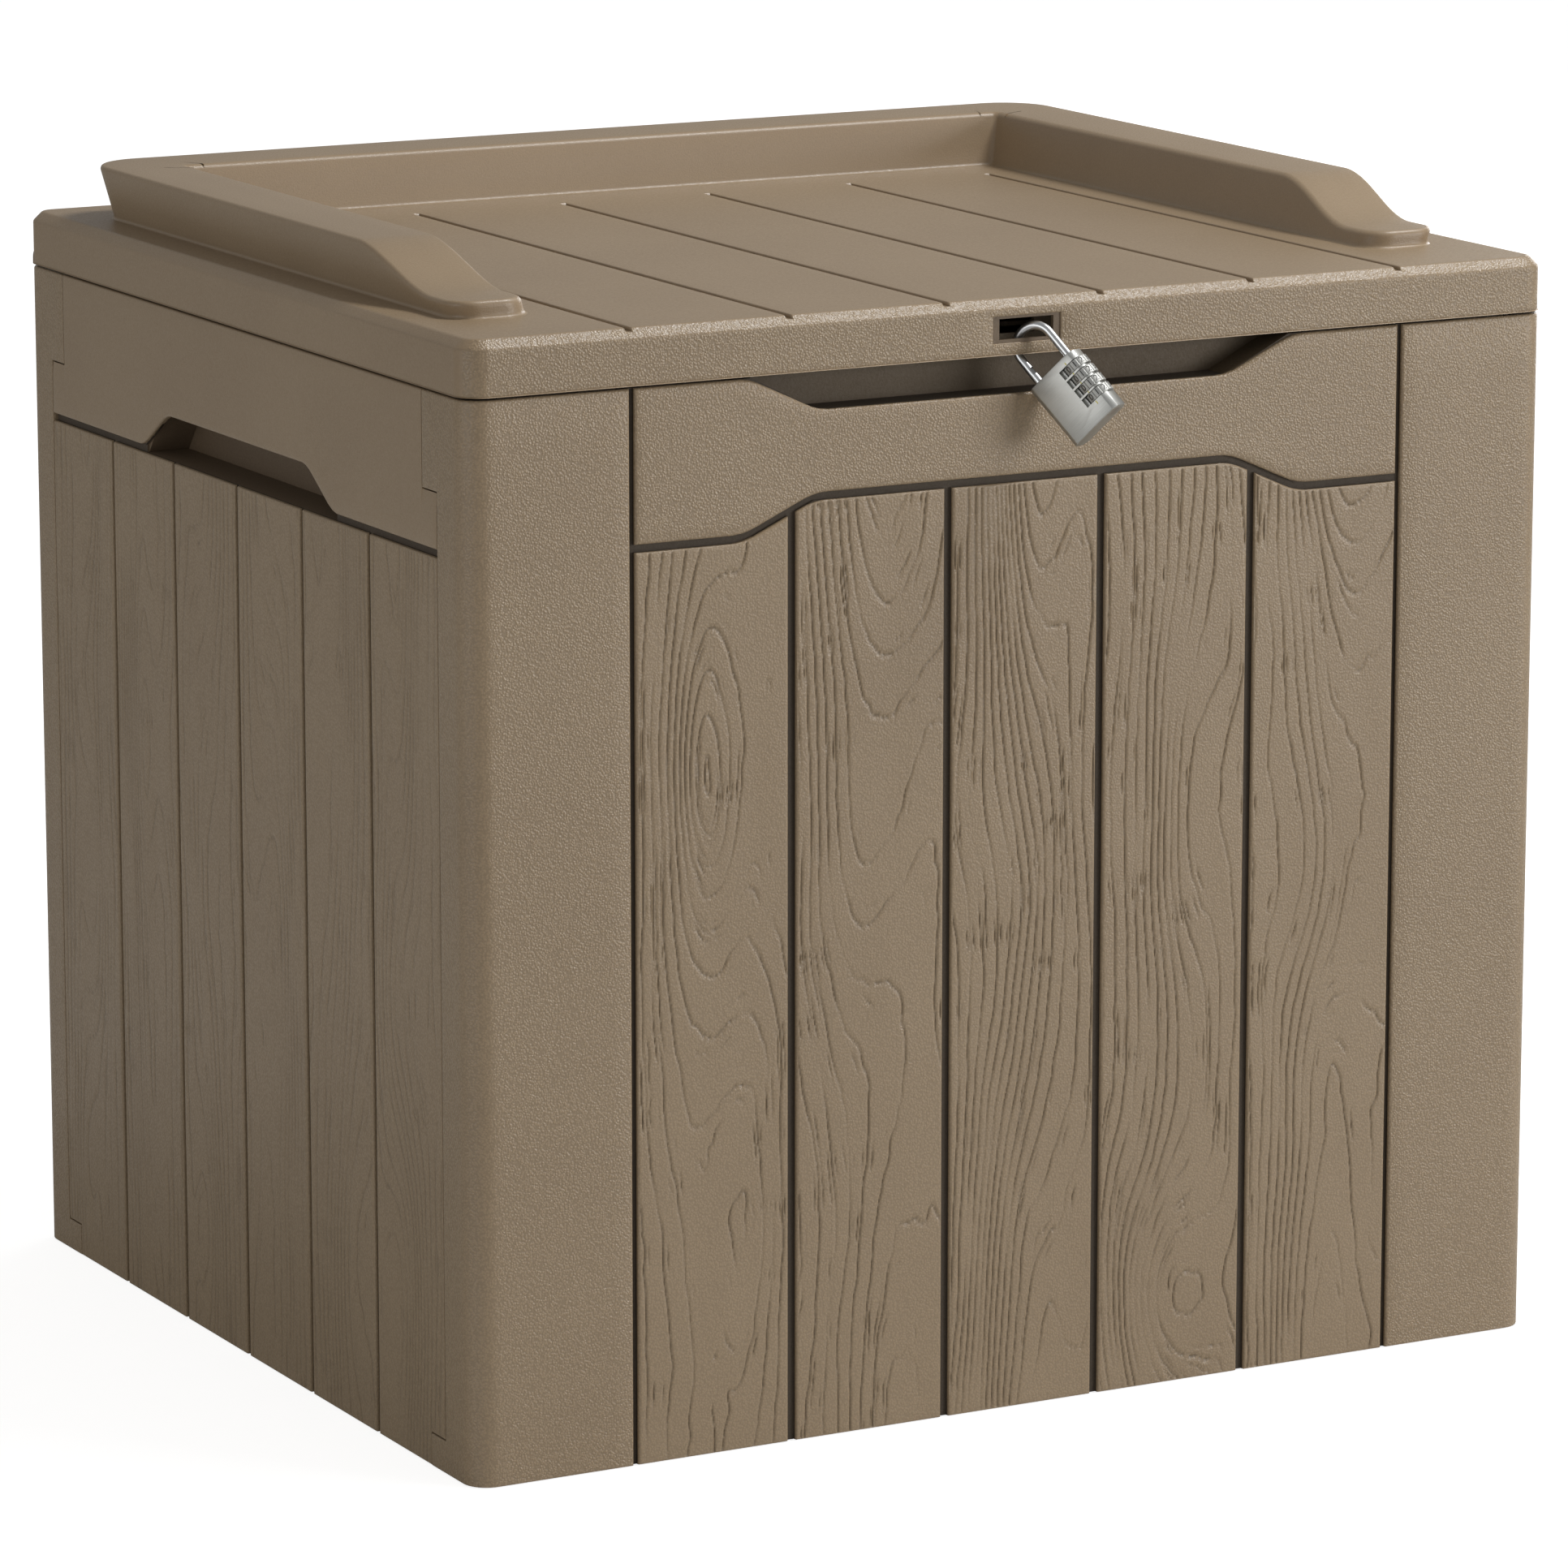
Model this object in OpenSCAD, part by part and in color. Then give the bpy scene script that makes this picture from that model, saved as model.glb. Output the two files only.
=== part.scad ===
// Resin deck storage box. Four moulded wall panels with planks in relief interlock at
// the corners round a ribbed floor. The lid turns on two pins at the back, carries a
// flared U-shaped rail and a screwed inner liner, and a combination padlock hangs in
// the slot of its front skirt.
// Origin: bottom centre of the box. +X is right, +Y is back, +Z is up. Millimetres.

/* [Body] */
// Width of the box across the front
body_w = 560; // [460:5:680]
// Depth of the box from front to back
body_d = 488; // [400:4:600]
// Height of the walls, up to the middle of the lid seam
body_h = 490; // [400:5:600]
// Radius of the upright outside corners
corner_r = 12; // [9:1:20]
// Thickness of every moulded skin
skin = 3; // [2.6:0.1:4]
// Thickness of the ribs and webs behind the skins
rib = 2.5; // [2:0.1:3.5]
// Radius that relieves the back panel's top edge under the turning lid
back_edge_r = 6; // [5:0.5:7]

/* [Planks and grooves] */
// Width of each corner post on the front
post_w = 81; // [60:1:110]
// Number of planks on the front and on the back
front_planks = 5; // [3:1:8]
// Number of planks on each side
side_planks = 6; // [3:1:8]
// Width of the grooves between front planks
front_gap = 4; // [3:0.5:6]
// Width of the grooves between side planks
side_gap = 3; // [2:0.5:5]
// Width of the grooves beside the corner posts
post_gap = 2.4; // [1.6:0.2:4]
// Depth of every groove
groove_depth = 2.6; // [1.5:0.1:2.6]

/* [Header band] */
// Height of the band above the planks, at the posts
header_h = 70; // [60:1:90]
// Rise of the front band's lower edge in the middle
arch_rise = 16; // [8:1:20]
// Width of the raised part of the front band's lower edge
arch_w = 216; // [150:2:280]
// Run of each slope beside the raised part
arch_run = 36; // [20:1:50]
// Width of the groove under the band
header_gap = 3.5; // [2.5:0.5:5]

/* [Front finger recess] */
// Width of the recess at its bottom
recess_w = 212; // [140:2:260]
// Run of each sloping end
recess_run = 35; // [20:1:50]
// Height of the recess below the lid seam
recess_h = 17; // [12:1:22]
// Depth of the recess behind the front face
recess_depth = 18; // [14:1:24]

/* [Side hand-holds] */
// Width of the hand-hold at its top
hand_w = 156; // [110:2:190]
// Run of each sloping end
hand_run = 28; // [15:1:35]
// Height of the hand-hold's edge above the band's lower edge
hand_rise = 18; // [12:1:24]
// Depth of the hand-hold pocket behind the side face
hand_depth = 24; // [18:1:34]
// Height that the pocket climbs behind the band for the fingers
hand_climb = 14; // [6:1:20]

/* [Corner seams] */
// Reach of the front and back panels along the side faces, over most of the height
wrap = 29.5; // [24:0.5:40]
// Extra reach of the hooks at the top and bottom of that seam
hook = 14.5; // [8:0.5:20]
// Height of the top hook
hook_top = 44; // [30:1:60]
// Height of the bottom hook
hook_bottom = 15; // [8:1:30]
// Clearance between panels that slide together
seam = 0.3; // [0.2:0.05:0.5]

/* [Floor] */
// Height of the underside of the floor sheet
floor_z = 12; // [9:1:20]
// Depth of the ribs below the floor sheet
floor_rib_h = 8; // [4:1:8]
// Side of the square pads that rest the floor on the ground
pad_side = 40; // [20:2:60]

/* [Lid] */
// Height of the lid's edge from the seam to the top face
lid_h = 26; // [24:1:34]
// Gap between the lid's skirt and the walls
lid_gap = 1; // [0.6:0.1:2]
// Size of the chamfer round the top face
lid_chamfer = 4.5; // [2:0.5:6]
// Width of the grooves between the lid's boards
lid_groove_w = 3; // [2:0.5:4]
// Depth of the grooves between the lid's boards
lid_groove_depth = 2; // [1:0.1:2]

/* [Lid rail] */
// Height of the rail above the top face
rail_h = 26; // [16:1:34]
// Distance from the lid's edge to the rail's outer foot
rail_inset = 24; // [18:1:30]
// Distance from the back edge to the rail's outer foot
rail_back_inset = 38; // [34:1:50]
// Width of the rail
rail_w = 38; // [28:1:46]
// Outward lean of the rail's walls over its height
rail_lean = 7; // [3:0.5:9]
// Radius of the rail's back corners at the foot
rail_corner_r = 20; // [14:1:26]
// Height of the low pad that ends each arm
pad_h = 8; // [6:0.5:12]
// Distance from the front edge to the pad's end
pad_front = 57; // [40:1:80]
// Length of the pad before it starts to climb
pad_len = 24; // [14:1:40]
// Length of the curved climb from the pad to the rail
climb_len = 66; // [40:1:90]
// Radius of the pad's front corners
pad_r = 13; // [8:1:16]

/* [Hinge] */
// Radius of the hinge pin
pin_r = 2.5; // [2:0.1:3]
// Running clearance round the pin in the back panel's knuckle
pin_clear = 0.05; // [0.03:0.01:0.1]
// Outside radius of the knuckles
knuckle_r = 5; // [4.6:0.1:5.2]
// Distance of the hinge axis in from the back face
axis_inset = 6; // [6:0.1:6.4]
// Distance of each hinge from the middle
hinge_x = 175; // [120:5:200]
// Length of the back panel's knuckle
knuckle_l = 40; // [24:1:60]
// Length of each of the lid's two knuckles at one hinge
lid_knuckle_l = 18; // [12:1:30]
// End gap between knuckles
knuckle_gap = 0.6; // [0.4:0.1:1]
// Radius of the cove under the lid's back edge
cove_r = 7; // [7:0.1:8]

/* [Lock slot] */
// Width of the slot in the lid's front skirt
slot_w = 28; // [24:1:36]
// Height of the slot
slot_h = 9.5; // [8.5:0.1:11]
// Height of the bar left below the slot
bar_h = 7; // [6:0.1:7.2]

/* [Padlock] */
// Width of the padlock's case
case_w = 28.5; // [24:0.5:34]
// Height of the case
case_h = 33; // [31:0.5:40]
// Thickness of the case
case_t = 12; // [11.6:0.1:14]
// Chamfer along the upright edges of the case
case_chamfer = 2.2; // [1:0.1:2.5]
// Radius of the shackle's rod
shackle_r = 2; // [1.6:0.1:2.2]
// Distance between the shackle's two legs
leg_spacing = 19; // [17:0.5:22]
// Straight length of the legs above the case
leg_l = 14; // [13:0.5:18]
// Depth that the long leg reaches into the case
long_leg = 28; // [26:0.5:30]
// Depth that the short leg reaches into the case
short_leg = 6; // [5:0.5:7]
// Running clearance round the legs
leg_clear = 0.08; // [0.04:0.01:0.1]
// Radius of the number dials
dial_r = 6.2; // [5.6:0.1:6.6]
// Thickness of each dial
dial_t = 4.2; // [3.6:0.1:4.4]
// Distance from one dial to the next
dial_pitch = 5.4; // [5.2:0.1:6]

/* [Hidden] */
$fn = 64;
eps = 0.5;                                   // overlap that fuses the parts of one moulding

resin = "#8d7a64";
resin_dark = "#6f5f4c";
steel = "#c9cbcc";
zinc = "#b4b7b9";
ink = "#26272a";

half_w = body_w / 2;
half_d = body_d / 2;
wall_top = body_h - lid_gap / 2;             // top edge of the walls
skirt_z = body_h + lid_gap / 2;              // bottom edge of the lid's skirt
header_z = body_h - header_h;                // lower edge of the bands
plank_pitch = (body_w - 2 * post_w) / front_planks;
side_l = body_d - 2 * wrap;                  // visible length of a side panel
side_pitch = side_l / side_planks;
backing = rib + 4;                           // width of the web behind a groove, beyond it
post_x = half_w - post_w;

tongue_t = 3.5;                              // thickness of the side panels' tongues
tongue_l = 10;                               // reach of the tongues behind the front panel
tongue_out = half_w - skin - seam;           // outer face of the tongues
channel_in = tongue_out - tongue_t - seam;   // inner wall of the channel for the tongue
channel_front = half_d - wrap + tongue_l + seam;

ledge = 8;                                   // reach of the ledges that carry the floor
floor_half_w = half_w - skin - rib - 1.5;
floor_half_d = half_d - skin - rib - 1.5;

screw_r = 1.75;
screw_clear = 0.05;
screw_head_r = 4;
screw_head_h = 2.5;
corner_screw_z = [60, body_h / 2, body_h - 60];
corner_screw_y = half_d - wrap + tongue_l / 2;

lip_h = 7;                                   // rain lip above the wall's top edge
lip_in = 5.5;                                // outer faces of the wall and of the lip
lip_t = 2;
end_gap = 8;                                 // gap that lips and ledges leave at their ends
corner_gap = 18;                             // the same gap beside a corner

axis_y = half_d - axis_inset;
axis_z = body_h;
lid_top = body_h + lid_h;
lid_under = lid_top - skin;
rail_top = lid_top + rail_h;
pad_top = lid_top + pad_h;
rail_out = half_w - rail_inset;              // outer foot of the side rails
rail_in = rail_out - rail_w;
rail_back = half_d - rail_back_inset;        // outer foot of the back rail
pad_end = -half_d + pad_front;
groove_end = rail_back - rail_w - 29;        // where the lid's grooves stop

slot_z = skirt_z + bar_h;
frame_depth = 0.8;                           // shallow frame moulded round the lock slot
frame_side = 3.5;
frame_low = 1.5;
frame_high = 1.2;
hinge_span = knuckle_l + 2 * (knuckle_gap + lid_knuckle_l);

liner_z = skirt_z + 8.5;
liner_t = 2;
liner_half_w = half_w - 12;
liner_front = -half_d + 14;
liner_back = half_d - 18;
boss_x = post_x - 99;
boss_y = [-half_d + 49, 0, rail_back - rail_w - 18];
boss_r = 5;
staple_half_w = slot_w / 2 + 14;

// The padlock's own frame: origin in the middle of the case's top, +Z along the legs
lock_pos = [8.6, -half_d + skin / 2 - 11.6, skirt_z - 6.5];
lock_rot = [-4.6, -45.2, -52.8];
leg_x = leg_spacing / 2;
first_dial = 6.2;                            // depth of the first dial's middle in the case
plug_h = 2;

function smooth(t) = t * t * (3 - 2 * t);

// Height of a dial's middle in the padlock's own frame
function dial_z(i) = -first_dial - i * dial_pitch;

// ---------- shared shapes ----------

// Rounded rectangle centred on the origin
module round_rect(w, d, r) {
    square([w - 2 * r, d], center = true);
    square([w, d - 2 * r], center = true);
    for (x = [-1, 1], y = [-1, 1])
        translate([x * (w / 2 - r), y * (d / 2 - r)]) circle(r);
}

// Puts a drawing of [x, z] points on the front face, with its thickness from y0 to y1
module from_front(y0, y1) {
    translate([0, y1, 0]) rotate([90, 0, 0]) linear_extrude(y1 - y0) children();
}

// Puts a drawing of [y, z] points on a side face, with its thickness from x0 to x1
module from_side(x0, x1) {
    translate([x0, 0, 0]) rotate([90, 0, 90]) linear_extrude(x1 - x0) children();
}

// Band between two heights that follows a line of [across, height] points
module band(line, below, above) {
    polygon(concat(
        [for (p = line) [p[0], p[1] - below]],
        [for (i = [len(line) - 1:-1:0]) [line[i][0], line[i][1] + above]]));
}

// Screw along +Z, head from z = 0 down, shank up
module screw(length) {
    translate([0, 0, -screw_head_h]) {
        cylinder(h = screw_head_h + length, r = screw_r);
        cylinder(h = screw_head_h, r = screw_head_r);
    }
}

// ---------- front and back panels ----------

// Lower edge of the front band, as [x, z] points across the planks
function arch_line(rise) = [
    [-post_x, header_z],
    [-arch_w / 2 - arch_run, header_z],
    [-arch_w / 2, header_z + rise],
    [arch_w / 2, header_z + rise],
    [arch_w / 2 + arch_run, header_z],
    [post_x, header_z]];

// Outer skin that wraps the two corners, with hooks at the top and the bottom
module wrap_skin() {
    module slice(z0, z1, reach) {
        translate([0, 0, z0]) linear_extrude(z1 - z0) intersection() {
            difference() {
                round_rect(body_w, body_d, corner_r);
                round_rect(body_w - 2 * skin, body_d - 2 * skin, corner_r - skin);
            }
            translate([-half_w, -half_d]) square([body_w, reach]);
        }
    }
    slice(0, wall_top, wrap);
    slice(0, hook_bottom, wrap + hook);
    slice(body_h - hook_top, wall_top, wrap + hook);
}

// Grooves of the front face, grown on both sides by spread
module front_grooves(rise, spread) {
    for (side = [-1, 1])
        translate([side * post_x - post_gap / 2 - spread, -1])
            square([post_gap + 2 * spread, body_h + 2]);
    band(arch_line(rise), header_gap + spread, spread);
    // grooves between planks, up to the band's lower edge
    intersection() {
        for (i = [1:front_planks - 1])
            translate([-post_x + i * plank_pitch - front_gap / 2 - spread, -1])
                square([front_gap + 2 * spread, body_h]);
        polygon(concat([[-post_x, -1]], arch_line(rise), [[post_x, -1]]));
    }
}

// Channel inside each corner that takes a side panel's tongue
module corner_channel() {
    for (side = [0, 1]) mirror([side, 0, 0]) {
        translate([channel_in - rib, -channel_front - rib, 0])
            cube([half_w - skin + eps - channel_in + rib, rib, wall_top]);
        translate([channel_in - rib, -channel_front - rib, 0])
            cube([rib, tongue_l + rib + 2, wall_top]);
        translate([channel_in - eps, -channel_front - eps, 0])
            cube([half_w - skin + eps - channel_in, tongue_l + eps, rib]);
    }
}

// Holes for the corner screws in the channel's inner walls
module corner_screw_holes(r) {
    for (side = [-1, 1], z = corner_screw_z)
        translate([side * (channel_in - rib - 1), -corner_screw_y, z])
            rotate([0, side * 90, 0]) cylinder(h = rib + 2 + seam + tongue_t, r = r);
}

// Section of the lip inside the lid's skirt that keeps the rain out; face is the
// wall's outer face and the lip lies on its positive side
module lip_section(face) {
    polygon([[face + skin - eps, wall_top - 12], [face + lip_in + lip_t, wall_top - 6],
             [face + lip_in + lip_t, wall_top + lip_h], [face + lip_in, wall_top + lip_h],
             [face + lip_in, wall_top - 4], [face + skin - eps, wall_top - 7]]);
}

// Rain lip along x0 to x1 of the front wall
module front_lip(x0, x1) {
    from_side(x0, x1) lip_section(-half_d);
}

// Ledge under the floor along the inside of a wall
module ledge_profile(wall_face) {
    polygon([[wall_face - eps, floor_z - 10], [wall_face, floor_z - 10],
             [wall_face + ledge, floor_z - 3], [wall_face + ledge, floor_z],
             [wall_face - eps, floor_z]]);
}

module panel_base(rise) {
    difference() {
        union() {
            wrap_skin();
            intersection() {
                from_front(-half_d + skin - eps, -half_d + groove_depth + rib)
                    front_grooves(rise, backing / 2);
                translate([-post_x - backing, -half_d, 0])
                    cube([2 * (post_x + backing), 20, wall_top]);
            }
            corner_channel();
            from_side(12 - floor_half_w, floor_half_w - 12) ledge_profile(-half_d + skin);
        }
        from_front(-half_d - 1, -half_d + groove_depth) front_grooves(rise, 0);
        corner_screw_holes(screw_r + screw_clear);
    }
}

// Outline of the finger recess, grown outwards by grow
module recess_outline(grow) {
    bottom = body_h - recess_h - grow;
    polygon([[-recess_w / 2 - recess_run - grow, wall_top + 1],
             [-recess_w / 2 - grow / 2, bottom], [recess_w / 2 + grow / 2, bottom],
             [recess_w / 2 + recess_run + grow, wall_top + 1]]);
}

module front_panel() {
    staple_y = -half_d + recess_depth;
    color(resin) difference() {
        union() {
            panel_base(arch_rise);
            intersection() {
                from_front(-half_d + skin - eps, staple_y + rib) recess_outline(rib);
                translate([-half_w, -half_d, 0]) cube([body_w, 60, wall_top]);
            }
            for (side = [-1, 1])
                front_lip(side < 0 ? corner_gap - half_w : recess_w / 2 + recess_run + end_gap,
                          side < 0 ? -recess_w / 2 - recess_run - end_gap : half_w - corner_gap);
            // staple plate that stands behind the lid's slot
            translate([-staple_half_w, staple_y, body_h - recess_h - rib])
                cube([2 * staple_half_w, rib, slot_z + slot_h + 3 - body_h + recess_h + rib]);
        }
        from_front(-half_d - 1, staple_y) recess_outline(0);
        from_front(staple_y - 1, staple_y + rib + 1)
            translate([-slot_w / 2, slot_z]) square([slot_w, slot_h]);
    }
}

// The back panel is drawn as a front panel and turned round
module back_panel() {
    color(resin) difference() {
        union() {
            rotate(180) panel_base(0);
            rotate(180) front_lip(-hinge_x + hinge_span / 2 + 6, hinge_x - hinge_span / 2 - 6);
            for (side = [-1, 1]) translate([side * hinge_x - knuckle_l / 2, axis_y, 0])
                rotate([90, 0, 90]) linear_extrude(knuckle_l) {
                    translate([0, axis_z]) circle(knuckle_r);
                    polygon([[-knuckle_r, axis_z], [-knuckle_r, axis_z - 10], [0, axis_z - 22],
                             [axis_inset - skin + eps, axis_z - 22],
                             [axis_inset - skin + eps, axis_z - 2], [knuckle_r, axis_z]]);
                }
        }
        for (side = [-1, 1]) {
            // running bore for the pin
            translate([side * hinge_x - knuckle_l / 2 - 1, axis_y, axis_z]) rotate([0, 90, 0])
                cylinder(h = knuckle_l + 2, r = pin_r + pin_clear);
            // room for the lid's knuckles beside it
            for (end = [-1, 1]) {
                room = lid_knuckle_l + 2 * knuckle_gap + 1;
                middle = side * hinge_x + end * (knuckle_l / 2 + room / 2);
                translate([middle - room / 2, axis_y - knuckle_r - 4, axis_z - knuckle_r - 3])
                    cube([room, 40, 40]);
            }
        }
        // relief of the top edge, left off at the knuckles
        difference() {
            from_side(-half_w - 1, half_w + 1) difference() {
                translate([half_d - back_edge_r, wall_top - back_edge_r])
                    square([back_edge_r + 1, back_edge_r + 1]);
                translate([half_d - back_edge_r, wall_top - back_edge_r]) circle(back_edge_r);
            }
            for (side = [-1, 1])
                translate([side * hinge_x - knuckle_l / 2, 0, 0])
                    cube([knuckle_l, axis_y + knuckle_r, 2 * body_h]);
        }
    }
}

// ---------- side panels ----------

// Lower edge of the side band, as [y, z] points, raised over the hand-hold
hand_line = [
    [-half_d, header_z],
    [-hand_w / 2 - hand_run, header_z],
    [-hand_w / 2, header_z + hand_rise],
    [hand_w / 2, header_z + hand_rise],
    [hand_w / 2 + hand_run, header_z],
    [half_d, header_z]];

// Plank grooves of a side face, grown on both sides by spread
module side_plank_grooves(spread) {
    for (i = [1:side_planks - 1])
        translate([-side_l / 2 + i * side_pitch - side_gap / 2 - spread, -1])
            square([side_gap + 2 * spread, header_z - header_gap + 2]);
}

// Straight groove under the side band, grown on both sides by spread
module side_band_groove(spread) {
    translate([-half_d, header_z - header_gap - spread])
        square([body_d, header_gap + 2 * spread]);
}

// Opening of the hand-hold, grown outwards by grow and upwards by climb
module hand_outline(grow, climb) {
    top = header_z + hand_rise + climb + grow;
    low = header_z - header_gap - grow;
    polygon([[-hand_w / 2 - hand_run - grow, low], [hand_w / 2 + hand_run + grow, low],
             [hand_w / 2 + grow, top], [-hand_w / 2 - grow, top]]);
}

// Right side panel; the left one is its mirror image
module side_panel() {
    main_half = side_l / 2 - seam;
    hook_half = main_half - hook;
    pocket_in = half_w - hand_depth;
    difference() {
        union() {
            translate([half_w - skin, -hook_half, 0]) cube([skin, 2 * hook_half, wall_top]);
            translate([half_w - skin, -main_half, hook_bottom + seam])
                cube([skin, 2 * main_half, body_h - hook_top - hook_bottom - 2 * seam]);
            // webs behind the grooves
            intersection() {
                from_side(half_w - groove_depth - rib, half_w - skin + eps) {
                    side_plank_grooves(backing / 2);
                    side_band_groove(backing / 2);
                }
                translate([0, -hook_half, 0]) cube([half_w, 2 * hook_half, wall_top]);
            }
            // tongues that slide into the front and back panels' channels
            for (end = [-1, 1]) mirror([0, end < 0 ? 1 : 0, 0]) {
                translate([tongue_out - tongue_t, hook_half - 6, rib + seam])
                    cube([tongue_t, main_half + tongue_l - hook_half + 6, wall_top - rib - 4]);
                translate([tongue_out - tongue_t, hook_half - 6, rib + seam])
                    cube([half_w - tongue_out + tongue_t - skin + eps, 6, wall_top - rib - 4]);
            }
            // pocket behind the hand-hold
            from_side(pocket_in - rib, half_w - skin + eps) hand_outline(rib, hand_climb);
            mirror([1, 0, 0]) {
                from_front(end_gap - hook_half, hook_half - end_gap) {
                    lip_section(-half_w);
                    ledge_profile(-half_w + skin);
                }
            }
        }
        from_side(half_w - groove_depth, half_w + 1) {
            side_plank_grooves(0);
            side_band_groove(0);
        }
        // the opening, and the pocket that climbs behind the band
        from_side(half_w - skin - eps, half_w + 1)
            polygon(concat([[-hand_w / 2 - hand_run, header_z - header_gap]],
                           [for (i = [1:4]) hand_line[i]],
                           [[hand_w / 2 + hand_run, header_z - header_gap]]));
        from_side(pocket_in, half_w - skin) hand_outline(0, hand_climb);
        for (end = [-1, 1], z = corner_screw_z)
            translate([tongue_out - tongue_t - 1, end * corner_screw_y, z])
                rotate([0, 90, 0]) cylinder(h = tongue_t + 2, r = screw_r + screw_clear);
    }
}

module right_side_panel() {
    color(resin) side_panel();
}

module left_side_panel() {
    color(resin) mirror([1, 0, 0]) side_panel();
}

// ---------- floor and screws ----------

module floor_panel() {
    notch_x = half_w - channel_in + rib + 1;
    notch_y = wrap + 4;
    rib_half_w = floor_half_w - ledge - 4;
    rib_half_d = floor_half_d - ledge - 4;
    rib_z = floor_z - floor_rib_h;
    color(resin_dark) difference() {
        union() {
            translate([-floor_half_w, -floor_half_d, floor_z])
                cube([2 * floor_half_w, 2 * floor_half_d, skin]);
            for (k = [-3:3]) translate([k * rib_half_w / 3 - rib / 2, -rib_half_d, rib_z])
                cube([rib, 2 * rib_half_d, floor_rib_h + eps]);
            for (k = [-2:2]) translate([-rib_half_w, k * rib_half_d / 2 - rib / 2, rib_z])
                cube([2 * rib_half_w, rib, floor_rib_h + eps]);
            // pads that stand on the ground, one at the origin
            for (x = [-1:1], y = [-1:1])
                translate([x * rib_half_w * 2 / 3 - pad_side / 2, y * rib_half_d / 2 - pad_side / 2, 0])
                    difference() {
                        cube([pad_side, pad_side, floor_z + eps]);
                        translate([rib, rib, rib]) cube([pad_side - 2 * rib, pad_side - 2 * rib,
                                                         floor_z - rib]);
                    }
        }
        for (x = [-1, 1], y = [-1, 1])
            translate([x * half_w, y * half_d, floor_z])
                cube([2 * notch_x, 2 * notch_y, 40], center = true);
    }
}

module corner_screws() {
    color(steel) for (x = [-1, 1], y = [-1, 1], z = corner_screw_z)
        translate([x * (channel_in - rib), y * corner_screw_y, z])
            rotate([0, x * 90, 0]) screw(rib + seam + tongue_t);
}

// ---------- lid ----------

// Solid lid blank: rounded rectangle with a chamfered top edge, inset all round
module lid_blank(inset, z0, z1, chamfer) {
    w = half_w - inset;
    d = half_d - inset;
    r = corner_r - min(inset, corner_r - 1);
    module edge(reach) polygon([[-reach, z0], [reach, z0], [reach, z1 - chamfer],
                                [reach - chamfer, z1], [chamfer - reach, z1],
                                [-reach, z1 - chamfer]]);
    translate([0, d - r, 0]) rotate([90, 0, 0]) linear_extrude(2 * (d - r)) edge(w);
    translate([r - w, 0, 0]) rotate([90, 0, 90]) linear_extrude(2 * (w - r)) edge(d);
    for (x = [-1, 1], y = [-1, 1]) translate([x * (w - r), y * (d - r), 0])
        rotate_extrude() polygon([[0, z0], [r, z0], [r, z1 - chamfer], [r - chamfer, z1], [0, z1]]);
}

// Slanted section of the rail from its inner to its outer foot, thinned by inset
module rail_section(inner, outer, z0, inset) {
    slope = rail_lean / rail_h;
    top = rail_top - inset;
    polygon([[inner + inset + slope * (z0 - lid_top), z0],
             [outer - inset + slope * (z0 - lid_top), z0],
             [outer - inset + slope * (top - lid_top), top],
             [inner + inset + slope * (top - lid_top), top]]);
}

// Half section of the leaning cone that rounds a back corner of the rail
module corner_section(z0, inset) {
    slope = rail_lean / rail_h;
    top = rail_top - inset;
    foot_r = rail_corner_r - inset;
    polygon([[0, z0], [foot_r + slope * (z0 - lid_top), z0],
             [foot_r + slope * (top - lid_top), top], [0, top]]);
}

// Full-height U of the rail, with round outer back corners
module rail_u(z0, inset) {
    arm_back = rail_back - rail_corner_r;
    for (side = [0, 1]) mirror([side, 0, 0]) {
        translate([0, arm_back, 0]) rotate([90, 0, 0])
            linear_extrude(arm_back + half_d) rail_section(rail_in, rail_out, z0, inset);
        translate([rail_out - rail_corner_r, rail_back - rail_corner_r, 0])
            rotate_extrude() corner_section(z0, inset);
    }
    translate([-(rail_out - rail_corner_r), 0, 0]) rotate([90, 0, 90])
        linear_extrude(2 * (rail_out - rail_corner_r))
            rail_section(rail_back - rail_w, rail_back, z0, inset);
}

// Side view of the rail: pad, curved climb, level top
module rail_side(z0, inset) {
    start = pad_end + pad_len;
    steps = 14;
    polygon(concat(
        [[half_d, z0], [pad_end + inset, z0], [pad_end + inset, pad_top - inset]],
        [for (i = [0:steps]) [start + climb_len * i / steps,
            pad_top - inset + (rail_h - pad_h) * smooth(i / steps)]],
        [[half_d, rail_top - inset]]));
}

// Plan of the rail with its round pad ends
module rail_plan(inset) {
    reach = rail_lean + 4;
    for (side = [0, 1]) mirror([side, 0]) {
        translate([rail_in + inset, pad_end + pad_r]) square([rail_w + reach - 2 * inset, body_d]);
        translate([rail_in + pad_r, pad_end + inset]) square([rail_w - 2 * pad_r, body_d]);
        for (x = [rail_in + pad_r, rail_out - pad_r])
            translate([x, pad_end + pad_r]) circle(pad_r - inset);
    }
    translate([-half_w, 0]) square([body_w, body_d]);
}

module rail_solid(z0, inset) {
    intersection() {
        rail_u(z0, inset);
        from_side(-half_w, half_w) rail_side(z0, inset);
        translate([0, 0, z0]) linear_extrude(rail_top - z0) rail_plan(inset);
    }
}

// Grooves between the lid's boards, grown by spread
module lid_grooves(spread) {
    for (i = [0:front_planks])
        translate([-post_x + i * plank_pitch - lid_groove_w / 2 - spread, -half_d - 1 + spread])
            square([lid_groove_w + 2 * spread, groove_end + half_d + 1]);
}

// Rounded lower edge of the bar below the lock slot, which the shackle swings round
module slot_bead() {
    translate([-slot_w / 2 - eps, -half_d + skin / 2, skirt_z + skin / 2])
        rotate([0, 90, 0]) cylinder(h = slot_w + 2 * eps, r = skin / 2);
}

module lid_shell() {
    color(resin) {
        slot_bead();
        lid_body();
    }
}

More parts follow.
